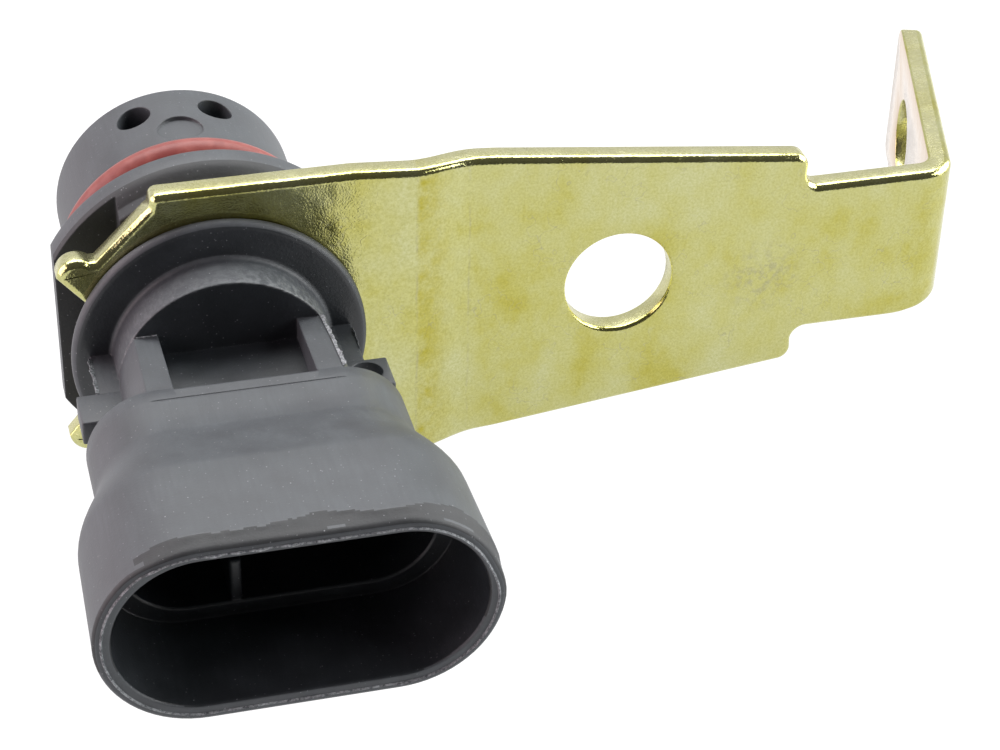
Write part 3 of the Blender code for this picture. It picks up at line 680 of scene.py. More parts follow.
def rounded(centre: Pair, radius: float, start: float, end: float, steps: int) -> list[Pair]:
    """Return a rounded corner of a turned profile as (radius, depth) pairs.

    Args:
        centre: The corner's centre.
        radius: The corner's radius.
        start: The angle that it starts at, where 90 faces the nose and -90 the connector.
        end: The angle that it ends at.
        steps: How many steps it takes.

    Returns:
        The pairs, in order.
    """
    turns = (math.radians(start + (end - start) * i / steps) for i in range(steps + 1))
    return [(centre[0] + radius * math.cos(a), centre[1] - radius * math.sin(a)) for a in turns]


def add_piece(name: str, bm: bmesh.types.BMesh, looks: Iterable[bpy.types.Material] = (),
              sharp: float = 32.0) -> bpy.types.Object:
    """Make an object of a mesh, smooth apart from its sharp edges.

    Args:
        name: The object's name.
        bm: The mesh, which is freed.
        looks: Its materials, in the order of its slots.
        sharp: Edges that turn by more than this many degrees stay sharp.

    Returns:
        The object, linked into the scene.
    """
    mesh = bpy.data.meshes.new(name)
    bm.to_mesh(mesh)
    bm.free()
    for look in looks:
        mesh.materials.append(look)
    mesh.shade_smooth()
    mesh.set_sharp_from_angle(angle=math.radians(sharp))
    made = bpy.data.objects.new(name, mesh)
    bpy.context.scene.collection.objects.link(made)
    return made


def block(name: str, xs: Pair, depths: Pair, zs: Pair, edge: float = 0.0) -> bpy.types.Object:
    """Make a box as a tool.

    Args:
        name: The tool's name.
        xs: From and to across.
        depths: From and to in depth.
        zs: From and to in height.
        edge: The rounding of its edges.

    Returns:
        The tool.
    """
    bm = bmesh.new()
    size = at(xs[1] - xs[0], depths[0] - depths[1], zs[1] - zs[0])
    middle = at(sum(xs) / 2, sum(depths) / 2, sum(zs) / 2)
    bmesh.ops.create_cube(bm, size=1.0,
                          matrix=Matrix.Translation(middle) @ Matrix.Diagonal((*size, 1.0)))
    if edge:
        bmesh.ops.bevel(bm, geom=bm.edges[:], offset=edge * MM, segments=3, profile=0.5,
                        affect="EDGES")
    return add_piece(name, bm)


def round_bar(name: str, middle: Vector, axis: Vector, radius: float, length: float,
              steps: int = 64) -> bpy.types.Object:
    """Make a cylinder as a tool.

    Args:
        name: The tool's name.
        middle: Its middle, in metres.
        axis: The way it points.
        radius: Its radius.
        length: Its length.
        steps: Its sides.

    Returns:
        The tool.
    """
    bm = bmesh.new()
    turn = Vector((0, 0, 1)).rotation_difference(axis).to_matrix().to_4x4()
    bmesh.ops.create_cone(bm, cap_ends=True, segments=steps, radius1=radius * MM,
                          radius2=radius * MM, depth=length * MM,
                          matrix=Matrix.Translation(middle) @ turn)
    return add_piece(name, bm)


def wedge(name: str, outline: Sequence[Pair], xs: Pair) -> bpy.types.Object:
    """Make a tool from an outline of (depth, z) pairs that runs across from one x to another."""
    rings = [[at(x, depth, z) for depth, z in outline] for x in xs]
    return add_piece(name, closed_loft(rings))


def worked(body: bpy.types.Object,
           steps: Sequence[tuple[Join, bpy.types.Object]]) -> bpy.types.Object:
    """Join tools to a body and cut tools from it, in order, and remove the tools.

    Args:
        body: The body.
        steps: What is done with each tool.

    Returns:
        The body, whose mesh is now the result.
    """
    for join, tool in steps:
        step = body.modifiers.new(tool.name, "BOOLEAN")
        step.operation = join.value
        step.solver = "EXACT"
        step.object = tool
    bpy.context.view_layer.update()
    graph = bpy.context.evaluated_depsgraph_get()
    result = bpy.data.meshes.new_from_object(body.evaluated_get(graph))
    body.modifiers.clear()
    body.data = result
    for _, tool in steps:
        bpy.data.objects.remove(tool)
    return body


def settle(piece: bpy.types.Object, slot: str, *nodes: str) -> bpy.types.Object:
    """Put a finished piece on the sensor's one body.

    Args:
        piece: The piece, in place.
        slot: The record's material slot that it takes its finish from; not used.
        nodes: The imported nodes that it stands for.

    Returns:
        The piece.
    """
    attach(piece, ROOT)
    if nodes:
        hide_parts(*nodes)
    log.info("%s stands for %s", piece.name, ", ".join(nodes) or "nothing packed")
    return piece


@dataclass
class Nose:
    """The barrel that reaches into the engine, with its seal groove and its bearing flange."""

    radius: float = 9.45
    tip_round: float = 0.5
    groove: Pair = (8.64, 11.96)
    groove_radius: float = 7.75
    groove_round: float = 0.15
    flange_radius: float = 13.0
    flange_rear: float = 15.85
    flange_bevel: tuple[Pair, ...] = ((0.0, 1.7), (0.25, 2.35), (0.85, 2.85))
    flange_front: float = 20.0
    flange_round: float = 0.25
    recess_depth: float = 17.95
    recess_edge: float = -6.5
    collar_radius: float = 9.0
    flat_x: float = -11.3
    pin_radius: float = 1.4
    pin_depth: float = 3.1
    pin_turn: float = 19.9
    gate_radius: float = 1.75
    gate_depth: float = 6.3
    gate_sink: float = 0.3
    bore_radius: float = 7.4
    bore_rear_radius: float = 6.6
    bore: tuple[float, float, float] = (1.0, 8.1, 24.0)

    def profile(self) -> list[Pair]:
        """Draw the turned outline from the tip to the face that the bracket bears on.

        Returns:
            Pairs of radius and depth.
        """
        edge = self.flange_round
        out = [(0.05, 0.0), (5.0, 0.0)]
        out += rounded((self.radius - self.tip_round, self.tip_round), self.tip_round, 90, 0, 6)
        out += [(self.radius, d) for d in (2.0, 3.5, 5.0, 6.5, 8.0)]
        (front, rear), turn = self.groove, self.groove_round
        out += rounded((self.radius - turn, front - turn), turn, 0, -90, 3)
        out += [(self.groove_radius, front), (self.groove_radius, rear)]
        out += rounded((self.radius - turn, rear + turn), turn, 90, 0, 3)
        out += [(self.radius, 14.0), (self.radius, self.flange_rear - 0.2)]
        out += [(self.radius + 0.2, self.flange_rear)]
        out += rounded((self.flange_radius - edge, self.flange_rear + edge), edge, 90, 0, 4)
        out += [(self.flange_radius - inset, self.flange_rear + ahead)
                for inset, ahead in self.flange_bevel]
        pad = self.flange_radius - self.flange_bevel[-1][0]
        out += rounded((pad - edge, self.flange_front - edge), edge, 0, -90, 4)
        return out

    def tools(self) -> list[tuple[Join, bpy.types.Object]]:
        """Make what is cut from the nose and its flange.

        Returns:
            The flange's flat, its recess with the collar left standing, and the gate's mark.
        """
        far = self.flange_radius + 4
        flat = block("flange_flat", (-far, self.flat_x),
                     (self.flange_rear - 0.4, self.flange_front + 0.1), (-far, far))
        recess = block("flange_recess", (-far, self.recess_edge),
                       (self.recess_depth, self.flange_front + 0.12), (-far, far))
        core = round_bar("recess_core", at(0, self.flange_front, 0), Vector((0, 1, 0)),
                         self.collar_radius, 12.0, 96)
        recess = worked(recess, [(Join.CUT, core)])
        gate = round_bar("gate_recess", at(0, self.gate_depth, self.radius - self.gate_sink + 1.0),
                         Vector((0, 0, 1)), self.gate_radius, 2.0)
        return [(Join.CUT, flat), (Join.CUT, recess), (Join.CUT, gate)]

    def bores(self) -> list[tuple[Join, bpy.types.Object]]:
        """Make the two support-pin holes and the bore that holds the core.

        Returns:
            The three cuts.
        """
        cuts = []
        for side in (-1, 1):
            turn = math.radians(side * self.pin_turn)
            out = Vector((math.sin(turn), 0.0, math.cos(turn)))
            middle = out * (self.bore_radius + self.radius) / 2 * MM
            cuts.append((Join.CUT, round_bar(f"pin_hole_{side}", at(0, self.pin_depth, 0) + middle,
                                             out, self.pin_radius,
                                             self.radius - self.bore_radius + 2, 48)))
        first, step, last = self.bore
        rings = [circle(r, d, 96) for r, d in (
            (0.05, first), (self.bore_radius, first), (self.bore_radius, step),
            (self.bore_rear_radius, step), (self.bore_rear_radius, last), (0.05, last))]
        cuts.append((Join.CUT, add_piece("core_bore", closed_loft(rings))))
        return cuts


@dataclass
class Waist:
    """The collar in the bracket's fork, the clamp disc, the hub, and the wings with their ears."""

    collar_radius: float = 8.3
    collar_rear: float = 20.0
    disc_radius: float = 11.0
    disc_rear: float = 22.3
    disc_front: float = 23.2
    disc_edge: float = 0.6
    hub_radius: float = 8.1
    hub_front: float = 26.5
    hub_fillet: float = 0.4
    saddle_radius: float = 8.6
    saddle_heights: Pair = (4.35, 5.0)
    neck_rear: float = 34.1
    pocket_half: float = 5.05
    pocket_floor: float = 2.65
    wing_x: float = 9.7
    wing_z: Pair = (-0.6, 1.0)
    ear_x: float = 11.3
    ear_z: Pair = (-0.75, 1.12)
    ear_depths: Pair = (28.1, 31.5)
    ear_hole: tuple[float, float, float] = (9.5, 29.7, 1.2)

    def profile(self) -> list[Pair]:
        """Draw the turned outline from the collar to the saddle's front.

        Returns:
            Pairs of radius and depth.
        """
        fillet = self.hub_fillet
        out = [(self.collar_radius, self.collar_rear), (self.collar_radius, self.disc_rear)]
        out += [(self.disc_radius - 0.2, self.disc_rear), (self.disc_radius, self.disc_rear + 0.2)]
        out += rounded((self.disc_radius - self.disc_edge, self.disc_front - self.disc_edge),
                       self.disc_edge, 0, -90, 6)
        out += rounded((self.hub_radius + fillet, self.disc_front + fillet), -fillet, -90, 0, 5)
        out += [(self.hub_radius, self.hub_front - 0.08), (self.hub_radius - 0.06, self.hub_front)]
        out += [(self.saddle_radius, self.neck_rear + 0.6), (0.05, self.neck_rear + 0.6)]
        return out

    def tools(self) -> list[tuple[Join, bpy.types.Object]]:
        """Make the saddle's cuts and the wings that are joined on.

        Returns:
            Two cuts, the wings and the ears, and the right ear's hole.
        """
        low, high = self.saddle_heights
        run = self.neck_rear - self.hub_front
        end = self.neck_rear + 1.5
        end_z = high + (high - low) * 1.5 / run
        made = []
        for side in (1, -1):
            outline = [(self.hub_front, side * low), (end, side * end_z), (end, side * 12.0),
                       (self.hub_front, side * 12.0)]
            made.append((Join.CUT, wedge(f"saddle_{side}", outline, (-12.0, 12.0))))
        wings = block("wings", (-self.wing_x, self.wing_x),
                      (self.disc_front - 0.7, self.ear_depths[1] - 0.3), self.wing_z, 0.08)
        ears = block("ears", (-self.ear_x, self.ear_x), self.ear_depths, self.ear_z, 0.15)
        x, depth, radius = self.ear_hole
        hole = round_bar("ear_hole", at(x, depth, 0), Vector((0, 0, 1)), radius, 6.0, 48)
        return made + [(Join.ADD, wings), (Join.ADD, ears), (Join.CUT, hole)]

    def pocket(self) -> list[tuple[Join, bpy.types.Object]]:
        """Return the pocket in the saddle's top, cut after the neck is joined on."""
        box = block("saddle_pocket", (-self.pocket_half, self.pocket_half),
                    (self.hub_front, self.neck_rear + 0.2), (self.pocket_floor, 9.0))
        return [(Join.CUT, box)]


@dataclass
class Shroud:
    """The oval neck that steps out to the connector's mouth, and the socket inside it."""

    neck: Pair = (11.42, 5.10)
    neck_rear: float = 34.1
    step: Pair = (38.8, 45.6)
    bell: Pair = (13.40, 7.05)
    mouth: Pair = (13.65, 7.25)
    mouth_depth: float = 54.4
    lip_round: float = 0.35
    flash_in: float = 0.55
    flash_half: float = 0.09
    flash_tall: float = 0.13
    flash_ragged: float = 0.16
    opening: Pair = (12.45, 6.00)
    opening_round: float = 0.2
    ledge: Pair = (12.20, 5.65)
    ledge_depth: float = 46.2
    socket: Pair = (10.80, 4.50)
    socket_floor: float = 38.0
    key_x: float = -3.06
    key_thick: float = 0.84
    key_top: float = -1.1
    mould_line_depth: float = 35.4
    mould_line_x: Pair = (-6.9, 6.8)
    wear_in: float = 0.35
    wear_back: Pair = (0.9, 2.1)
    wear_wave_mm: float = 4.5
    wear_fray_mm: float = 0.8

    def rings(self) -> list[list[Vector]]:
        """Lay the sections from the neck's rear, out over the lip and in to the floor.

        Returns:
            The rings, in order along the surface.
        """
        (width, height), (bell_width, bell_height) = self.neck, self.bell
        out = [stadium(width - 0.05, height - 0.05, self.neck_rear),
               stadium(width, height, self.neck_rear + 0.08)]
        start, end = self.step
        out += [stadium(width, height + 0.01, d) for d in (35.6, 37.2)]
        steps = 14
        for i in range(steps + 1):
            # The sides widen in an S, and the top rises straight.
            wide, tall = ease(i / steps), min(1.03 * i / steps, 1.0)
            out.append(stadium(width + (bell_width - width) * wide,
                               height + (bell_height - height) * tall,
                               start + (end - start) * i / steps))
        length = self.mouth_depth - end
        shares = [0.25, 0.5, 0.75] + [1 - (2.1 - 0.15 * i) / length for i in range(11)]
        for share in shares:
            out.append(stadium(bell_width + (self.mouth[0] - bell_width) * share,
                               bell_height + (self.mouth[1] - bell_height) * share,
                               end + length * share))
        out = [[self.worn(p) for p in ring] for ring in out + self.lip()]
        out += self.opening_edge()
        out += [stadium(*self.ledge, self.ledge_depth),
                stadium(self.ledge[0] - 0.1, self.ledge[1] - 0.1, self.ledge_depth),
                stadium(self.socket[0] + 0.12, self.socket[1] + 0.12, self.ledge_depth),
                stadium(self.socket[0], self.socket[1], self.ledge_depth - 0.12),
                stadium(self.socket[0] - 0.15, self.socket[1] - 0.15, self.socket_floor)]
        return out

    def worn(self, point: Vector) -> Vector:
        """Draw a point of the outer skin in where handling has rounded the bell's top edge.

        Args:
            point: The point, in metres.

        Returns:
            Its place on the worn skin.
        """
        behind = self.mouth_depth + point.y / MM
        near, far = self.wear_back
        width = abs(point.x / MM)
        # The worn band's width wanders along the edge, and frays a little.
        wave = wander(Vector((point.x, 0, 0)), self.wear_wave_mm, 3.1)
        start = near + (far - near) * (0.5 + 0.6 * wave)
        start += 0.25 * wander(point, self.wear_fray_mm, 1.3)
        height = point.z / MM / self.mouth[1]
        around = ease((height - 0.72) / 0.25) if point.x < 0 else ease((height + 0.1) / 0.5)
        share = min(max(1 - behind / max(start, 0.3), 0.0), 1.0)
        out = Vector((math.copysign(max(width - self.mouth[0] + self.mouth[1], 0.0), point.x), 0,
                      point.z / MM)).normalized()
        return point - out * self.wear_in * share ** 0.75 * around * MM

    def lip(self) -> list[list[Vector]]:
        """Lay the lip's sections, with the low ragged ridge that the mould's parting leaves.

        Returns:
            The rings, from the outer skin to the ridge's inner foot.
        """
        back = self.mouth_depth - self.lip_round
        out = []
        for a in (0, 20, 40, 60, 80, 90):
            inset = self.lip_round * (1 - math.cos(math.radians(a)))
            out.append(stadium(self.mouth[0] - inset, self.mouth[1] - inset,
                               back + self.lip_round * math.sin(math.radians(a))))
        foot, crest = (self.flash_half, 0.0), (0.0, self.flash_tall)
        for inward, (aside, ahead) in ((-1, foot), (0, crest), (1, foot)):
            inset = self.flash_in + inward * aside
            ring = stadium(self.mouth[0] - inset, self.mouth[1] - inset, self.mouth_depth + ahead)
            ragged = self.flash_ragged if ahead else 0.0
            out.append([p + Vector((0, ragged * MM * wander(p, 0.8), 0)) for p in ring])
        return out

    def opening_edge(self) -> list[list[Vector]]:
        """Lay the rounded edge where the lip turns into the mouth.

        Returns:
            The rings, from the lip's face inwards.
        """
        (width, height), turn = self.opening, self.opening_round
        out = []
        for a in (0, 30, 60, 90):
            inset = turn * (1 - math.sin(math.radians(a)))
            out.append(stadium(width + inset, height + inset,
                               self.mouth_depth - turn * (1 - math.cos(math.radians(a)))))
        return out

    def tools(self) -> list[tuple[Join, bpy.types.Object]]:
        """Return the shroud as a solid to join on."""
        return [(Join.ADD, add_piece("shroud", closed_loft(self.rings())))]

    def details(self) -> list[tuple[Join, bpy.types.Object]]:
        """Make the key rib in the socket and the mould's line across the neck.

        Returns:
            The rib, which is joined on, and the line's cut.
        """
        key = block("key_rib", (self.key_x - self.key_thick / 2, self.key_x + self.key_thick / 2),
                    (self.socket_floor - 0.6, self.ledge_depth - 0.1),
                    (-self.socket[1] - 0.4, self.key_top), 0.25)
        depth = self.mould_line_depth
        line = block("mould_line", self.mould_line_x, (depth - 0.06, depth + 0.06),
                     (self.neck[1] - 0.03, self.neck[1] + 1.0))
        return [(Join.ADD, key), (Join.CUT, line)]


@dataclass
class Terminals:
    """Where the three blades run through the housing."""

    thick: float = 0.8
    width: float = 1.5
    clearance: float = 0.2
    pitch_inside: float = 3.0
    pitch: float = 6.0
    start: float = 23.5
    spread: Pair = (25.5, 32.5)
    end: float = 38.5

    def slots(self) -> list[tuple[Join, bpy.types.Object]]:
        """Make the blades' slots, which spread from the core's pitch to the connector's.

        Returns:
            One cut for each blade.
        """
        half_z = self.thick / 2 + self.clearance
        half_x = self.width / 2 + self.clearance
        made = []
        for place in (-1, 0, 1):
            near, far = place * self.pitch_inside, place * self.pitch
            rings = []
            for x, depth in ((near, self.start), (near, self.spread[0]), (far, self.spread[1]),
                             (far, self.end)):
                rings.append([at(x - half_x, depth, -half_z), at(x + half_x, depth, -half_z),
                              at(x + half_x, depth, half_z), at(x - half_x, depth, half_z)])
            made.append((Join.CUT, add_piece(f"slot_{place}", closed_loft(rings))))
        return made


@dataclass
class SensorHousing:
    """The one moulding that holds the sensor's core, with its nose, waist and shroud."""

    nose: Nose
    waist: Waist
    shroud: Shroud
    terminals: Terminals
    sharp_turn: float = 32.0
    rubbed_back: float = 2.4

    def build(self, looks: dict[Wear, bpy.types.Material]) -> bpy.types.Object:
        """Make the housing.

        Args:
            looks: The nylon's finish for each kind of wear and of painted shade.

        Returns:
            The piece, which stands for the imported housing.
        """
        profile = self.nose.profile() + self.waist.profile()
        body = add_piece("moulded_housing", closed_loft([circle(r, d) for r, d in profile]))
        steps = self.nose.tools() + self.waist.tools() + self.shroud.tools()
        steps += self.waist.pocket() + self.shroud.details()
        steps += self.nose.bores() + self.terminals.slots()
        worked(body, steps)
        body.data.materials.clear()
        for wear in Wear:
            body.data.materials.append(looks[wear])
        for face in body.data.polygons:
            face.material_index = self.wear(face.center, face.normal).value
        body.data.shade_smooth()
        body.data.set_sharp_from_angle(angle=math.radians(self.sharp_turn))
        return settle(body, "housing_plastic", "sensor_housing")

    def wear(self, place: Vector, way: Vector) -> Wear:
        """Return what a face has been through, or the shade painted on it.

        Args:
            place: Its middle, in metres.
            way: The way it faces.

        Returns:
            The kind of wear, or of painted shade.
        """
        across, depth, up = place.x / MM, -place.y / MM, place.z / MM
        nose, waist, shroud = self.nose, self.waist, self.shroud
        if depth > shroud.mouth_depth + 0.02:
            return Wear.TORN
        bevel = nose.flange_rear + nose.flange_bevel[0][1] + 0.1
        flange = (bevel < depth < nose.flange_front + 0.1
                  and (math.hypot(across, up) > nose.collar_radius + 0.2 or way.y < -0.9))
        behind = way.y < -0.9 and waist.disc_front - 0.1 < depth < waist.hub_front + 0.1
        pocket = (abs(across) < waist.pocket_half - 0.01 and up > 0
                  and waist.hub_front + 0.05 < depth < waist.neck_rear + 0.3)
        out = math.hypot(max(abs(across) - shroud.socket[0] + shroud.socket[1], 0.0), up)
        inside = depth > shroud.socket_floor - 0.1 and (
            out < shroud.socket[1] + 0.3
            or out < shroud.opening[1] + 0.1 and depth > shroud.ledge_depth - 0.2)
        rubbed = (shroud.mouth_depth - self.rubbed_back < depth < shroud.mouth_depth - 0.05
                  and way.y < -0.1 and up > -2.0)
        # The flange's faces take the darker rubbed nylon as painted shade; the mouth's band is
        # really rubbed.
        if flange or rubbed:
            return Wear.RUBBED_AND_SHADED
        # Painted shade: the faces behind the disc, the pocket and the socket take the darker
        # nylon.
        return Wear.SHADE_PAINTED if behind or pocket or inside else Wear.HANDLED


@dataclass
class FlashLine:
    """A torn fin of nylon along an edge where two halves of the mould met."""

    name: str
    path: Sequence[tuple[float, float, float]]
    lean: tuple[float, float, float]
    height: Pair
    seed: float
    foot: float = 0.10
    spacing: float = 0.2
    # How far apart its humps, its teeth and its broken stretches are.
    hump_mm: float = 0.55
    tooth_mm: float = 0.22
    break_mm: float = 2.1
    broken_share: float = 0.25

    def build(self, skin: bpy.types.Material) -> bpy.types.Object:
        """Make the fin as a thin closed ridge of uneven height.

        Args:
            skin: The torn nylon.

        Returns:
            The piece.
        """
        places = self.places()
        lean = Vector(self.lean).normalized() * MM
        rings = []
        for i, place in enumerate(places):
            along = (places[min(i + 1, len(places) - 1)] - places[max(i - 1, 0)]).normalized()
            side = along.cross(lean).normalized() * self.foot / 2 * MM
            share = 0.5 + 0.6 * wander(place, self.hump_mm, self.seed)
            share += 0.35 * wander(place, self.tooth_mm, self.seed + 2)
            share = min(max(share, 0.0), 1.0)
            if wander(place, self.break_mm, self.seed + 5) <= -0.5:
                share *= self.broken_share
            tall = self.height[0] + (self.height[1] - self.height[0]) * share
            shift = side * 1.2 * wander(place, 0.8, self.seed + 9)
            rings.append([place - side - lean * 0.05, place + side - lean * 0.05,
                          place + side * 0.3 + shift + lean * tall,
                          place - side * 0.3 + shift + lean * tall])
        return settle(add_piece(self.name, closed_loft(rings), (skin,), 60.0), "housing_plastic")

    def places(self) -> list[Vector]:
        """Lay points along the path, about one spacing apart.

        Returns:
            The points, in metres.
        """
        corners = [at(*p) for p in self.path]
        out = [corners[0]]
        for start, end in zip(corners, corners[1:]):
            count = max(int((end - start).length / (self.spacing * MM)), 1)
            out += [start.lerp(end, i / count) for i in range(1, count + 1)]
        return out


@dataclass
class MountingBracket:
    """The stamped plate: a fork round the waist, a joggled arm with a bolt hole, a folded tab."""

    thick: float = 1.9
    rear: float = 18.9
    joggle: float = 1.3
    joggle_run: Pair = (14.5, 20.2)
    arm_half: float = 12.3
    arm_start: float = 21.6
    fork_end: Pair = (10.4, 13.15)
    fork_corner: Pair = (-4.5, 0.65)
    fork_step: float = 11.8
    notch: Pair = (-8.6, 8.05)
    lobe: tuple[float, float, float] = (-10.0, 6.9, 1.5)
    slant_z: float = 2.8
    inner_radius: float = 8.5
    shoulder: tuple[float, float, float] = (45.05, 9.5, 1.15)
    end_half: float = 6.55
    end_start: float = 46.15
    end_drop: float = 0.9
    drop_run: Pair = (-1.5, 3.0)
    bolt_hole: Pair = (31.35, 4.28)
    roll: float = 0.6
    hole_roll: float = 0.35
    shear: float = 0.22
    tab_outer: float = 58.35
    tab_angle: float = math.radians(74.0)
    bend_radius: float = 3.0
    tab_length: float = 24.2
    tab_hole: Pair = (16.0, 3.3)
    tab_round: float = 1.1
    joggle_bands: int = 20
    bend_bands: int = 14

    @property
    def front(self) -> float:
        """Return the depth of the plate's front face."""
        return self.rear + self.thick

    @property
    def setback(self) -> float:
        """Return how far the bend starts before the outer faces' sharp corner."""
        return self.bend_radius * math.tan(self.tab_angle / 2)

    @property
    def bend_start(self) -> float:
        """Return where the bend starts along the blank."""
        return self.tab_outer - self.setback

    @property
    def bend_length(self) -> float:
        """Return the bend's length along the plate's middle."""
        return (self.bend_radius - self.thick / 2) * self.tab_angle

    @property
    def tab_hole_x(self) -> float:
        """Return where the tab's hole lies along the blank."""
        return self.bend_start + self.bend_length + self.tab_hole[0] - self.setback

    @staticmethod
    def arc(x: float, z: float, radius: float, start: float, end: float,
            steps: int) -> list[Pair]:
        """Return points on an arc of the blank, with its angles in degrees from +X to +Z."""
        turns = (math.radians(start + (end - start) * i / steps) for i in range(steps + 1))
        return [(x + radius * math.cos(a), z + radius * math.sin(a)) for a in turns]

    def half_outline(self, rise: float) -> list[Pair]:
        """Return half of the flat blank's outline.

        Args:
            rise: How much nearer to the axis the tab's edge lies.

        Returns:
            Pairs of x and height, from the tab's end to the middle of the fork.
        """
        end_x = self.bend_start + self.bend_length + self.tab_length - self.setback
        edge, corner = self.end_half - rise, self.tab_round
        half = self.arc(end_x - corner, edge - corner, corner, 0, 90, 8)
        first, last = self.drop_run
        steps = 6
        half += [(self.bend_start + last + (first - last) * i / steps,
                  edge + rise * ease(i / steps)) for i in range(steps + 1)]
        x, z, turn = self.shoulder
        half += self.arc(self.end_start + turn, self.end_half + turn, turn, 270, 185, 10)
        half += self.arc(x, z - turn, turn, 5, 82, 10)
        half += [(self.arm_start, self.arm_half), self.fork_end]
        # The tine: its corner, the slope down to its notch, and the lobe at its tip.
        (corner_x, corner), corner_z = self.fork_corner, self.fork_end[1]
        half += self.arc(corner_x + corner, corner_z - corner, corner, 90, 180, 5)
        half += [(corner_x - 0.1, self.fork_step + 0.25), (corner_x - 0.4, self.fork_step)]
        half += [self.notch]
        half += self.arc(*self.lobe, 50, 176, 16)
        start = 180 - math.degrees(math.asin(self.slant_z / self.inner_radius))
        return half + self.arc(0, 0, self.inner_radius, start, 0, 30)[:-1]

    def blank(self) -> bmesh.types.BMesh:
        """Cut the flat blank with its holes, before its edges are worked.

        Returns:
            The blank's mesh, with its walls in the second material slot.
        """
        upper = self.half_outline(0.0)
        lower = [(x, -z) for x, z in reversed(self.half_outline(self.end_drop))]
        hole_x, hole_r = self.bolt_hole
        loops = [upper + [(self.inner_radius, 0.0)] + lower,
                 self.arc(hole_x, 0, hole_r, 0, 360, 72)[:-1],
                 self.arc(self.tab_hole_x, 0, self.tab_hole[1], 0, 360, 56)[:-1]]
        curve = bpy.data.curves.new("bracket_blank", "CURVE")
        curve.dimensions = "2D"
        curve.fill_mode = "BOTH"
        curve.extrude = self.thick / 2 * MM
        for loop in loops:
            spline = curve.splines.new("POLY")
            spline.points.add(len(loop) - 1)
            for point, (x, z) in zip(spline.points, loop):
                point.co = (x * MM, z * MM, 0.0, 1.0)
            spline.use_cyclic_u = True
        guide = bpy.data.objects.new("bracket_blank", curve)
        bpy.context.scene.collection.objects.link(guide)
        bpy.context.view_layer.update()
        graph = bpy.context.evaluated_depsgraph_get()
        mesh = bpy.data.meshes.new_from_object(guide.evaluated_get(graph))
        bpy.data.objects.remove(guide)
        bm = bmesh.new()
        bm.from_mesh(mesh)
        bpy.data.meshes.remove(mesh)
        bm.transform(Matrix.Translation(at(0, self.rear + self.thick / 2, 0))
                     @ Matrix.Rotation(math.pi / 2, 4, "X"))
        bmesh.ops.remove_doubles(bm, verts=bm.verts, dist=1e-6)
        bmesh.ops.recalc_face_normals(bm, faces=bm.faces)
        bmesh.ops.dissolve_limit(bm, angle_limit=math.radians(1), verts=[], edges=bm.edges[:])
        for face in bm.faces:
            face.material_index = int(abs(face.normal.y) < 0.3)
        return bm

    def work_edge(self, bm: bmesh.types.BMesh, edge: Edge) -> None:
        """Round the plate's edges on one side, wide where the punch rolled them.

        The fork's inner edge faces the waist and stays as it is.

        Args:
            bm: The blank, which is changed.
            edge: The kind of edge that the side has.
        """
        rolled = edge is Edge.ROLLED
        level = -(self.front if rolled else self.rear) * MM
        inner = (self.inner_radius + 0.2) * MM
        for holes, size in ((True, self.hole_roll), (False, self.roll)):
            rim = [e for e in bm.edges if len(e.link_faces) == 2
                   and all(abs(v.co.y - level) < 1e-6 for v in e.verts)
                   and any(math.hypot(v.co.x, v.co.z) > inner for v in e.verts)
                   and self.on_hole(e) is holes
                   and abs(e.link_faces[0].normal.dot(e.link_faces[1].normal)) < 0.5]
            bmesh.ops.bevel(bm, geom=rim, offset=(size if rolled else self.shear) * MM,
                            segments=8 if rolled else 2, profile=0.5, affect="EDGES",
                            clamp_overlap=False)

    def on_hole(self, edge: bmesh.types.BMEdge) -> bool:
        """Return whether an edge of the blank lies on the rim of one of its two holes."""
        point = edge.verts[0].co / MM
        return any(abs(math.hypot(point.x - x, point.z) - r) < 0.02
                   for x, r in (self.bolt_hole, (self.tab_hole_x, self.tab_hole[1])))

    def folded(self, point: Vector) -> Vector:
        """Move a point of the blank to its place on the joggled and folded plate.

        Args:
            point: A point of the flat blank, in metres.

        Returns:
            Its place on the finished plate.
        """
        x, y, z = point / MM
        middle = -(self.rear + self.front) / 2
        off = y - middle
        start, end = self.joggle_run
        push = self.joggle * ease((end - x) / (end - start))
        radius = self.bend_radius - self.thick / 2
        turn = min(max((x - self.bend_start) / radius, 0.0), self.tab_angle)
        straight = max(x - self.bend_start - self.bend_length, 0.0)
        along, back = x, off
        if turn:
            along = self.bend_start + (radius - off) * math.sin(turn) + straight * math.cos(turn)
            back = radius - (radius - off) * math.cos(turn) + straight * math.sin(turn)
        return Vector((along, middle + back - push, z)) * MM

    def build(self, plating: bpy.types.Material,
              sheared: bpy.types.Material) -> bpy.types.Object:
        """Make the bracket.

        Args:
            plating: The chromated zinc of its faces.
            sheared: The duller plating of its sheared walls.

        Returns:
            The piece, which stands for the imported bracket.
        """
        bm = self.blank()
        for edge in Edge:
            self.work_edge(bm, edge)
        start, end = self.joggle_run
        cuts = [start + (end - start) * i / self.joggle_bands
                for i in range(self.joggle_bands + 1)]
        cuts += [self.bend_start + self.bend_length * i / self.bend_bands
                 for i in range(self.bend_bands + 1)]
        for x in cuts:
            bmesh.ops.bisect_plane(bm, geom=bm.verts[:] + bm.edges[:] + bm.faces[:], dist=1e-7,
                                   plane_co=(x * MM, 0, 0), plane_no=(1, 0, 0))
        bmesh.ops.triangulate(bm, faces=[f for f in bm.faces if len(f.verts) > 4])
        for vert in bm.verts:
            vert.co = self.folded(vert.co)
        return settle(add_piece("stamped_bracket", bm, (plating, sheared), 40.0),
                      "plated_steel", "bracket")


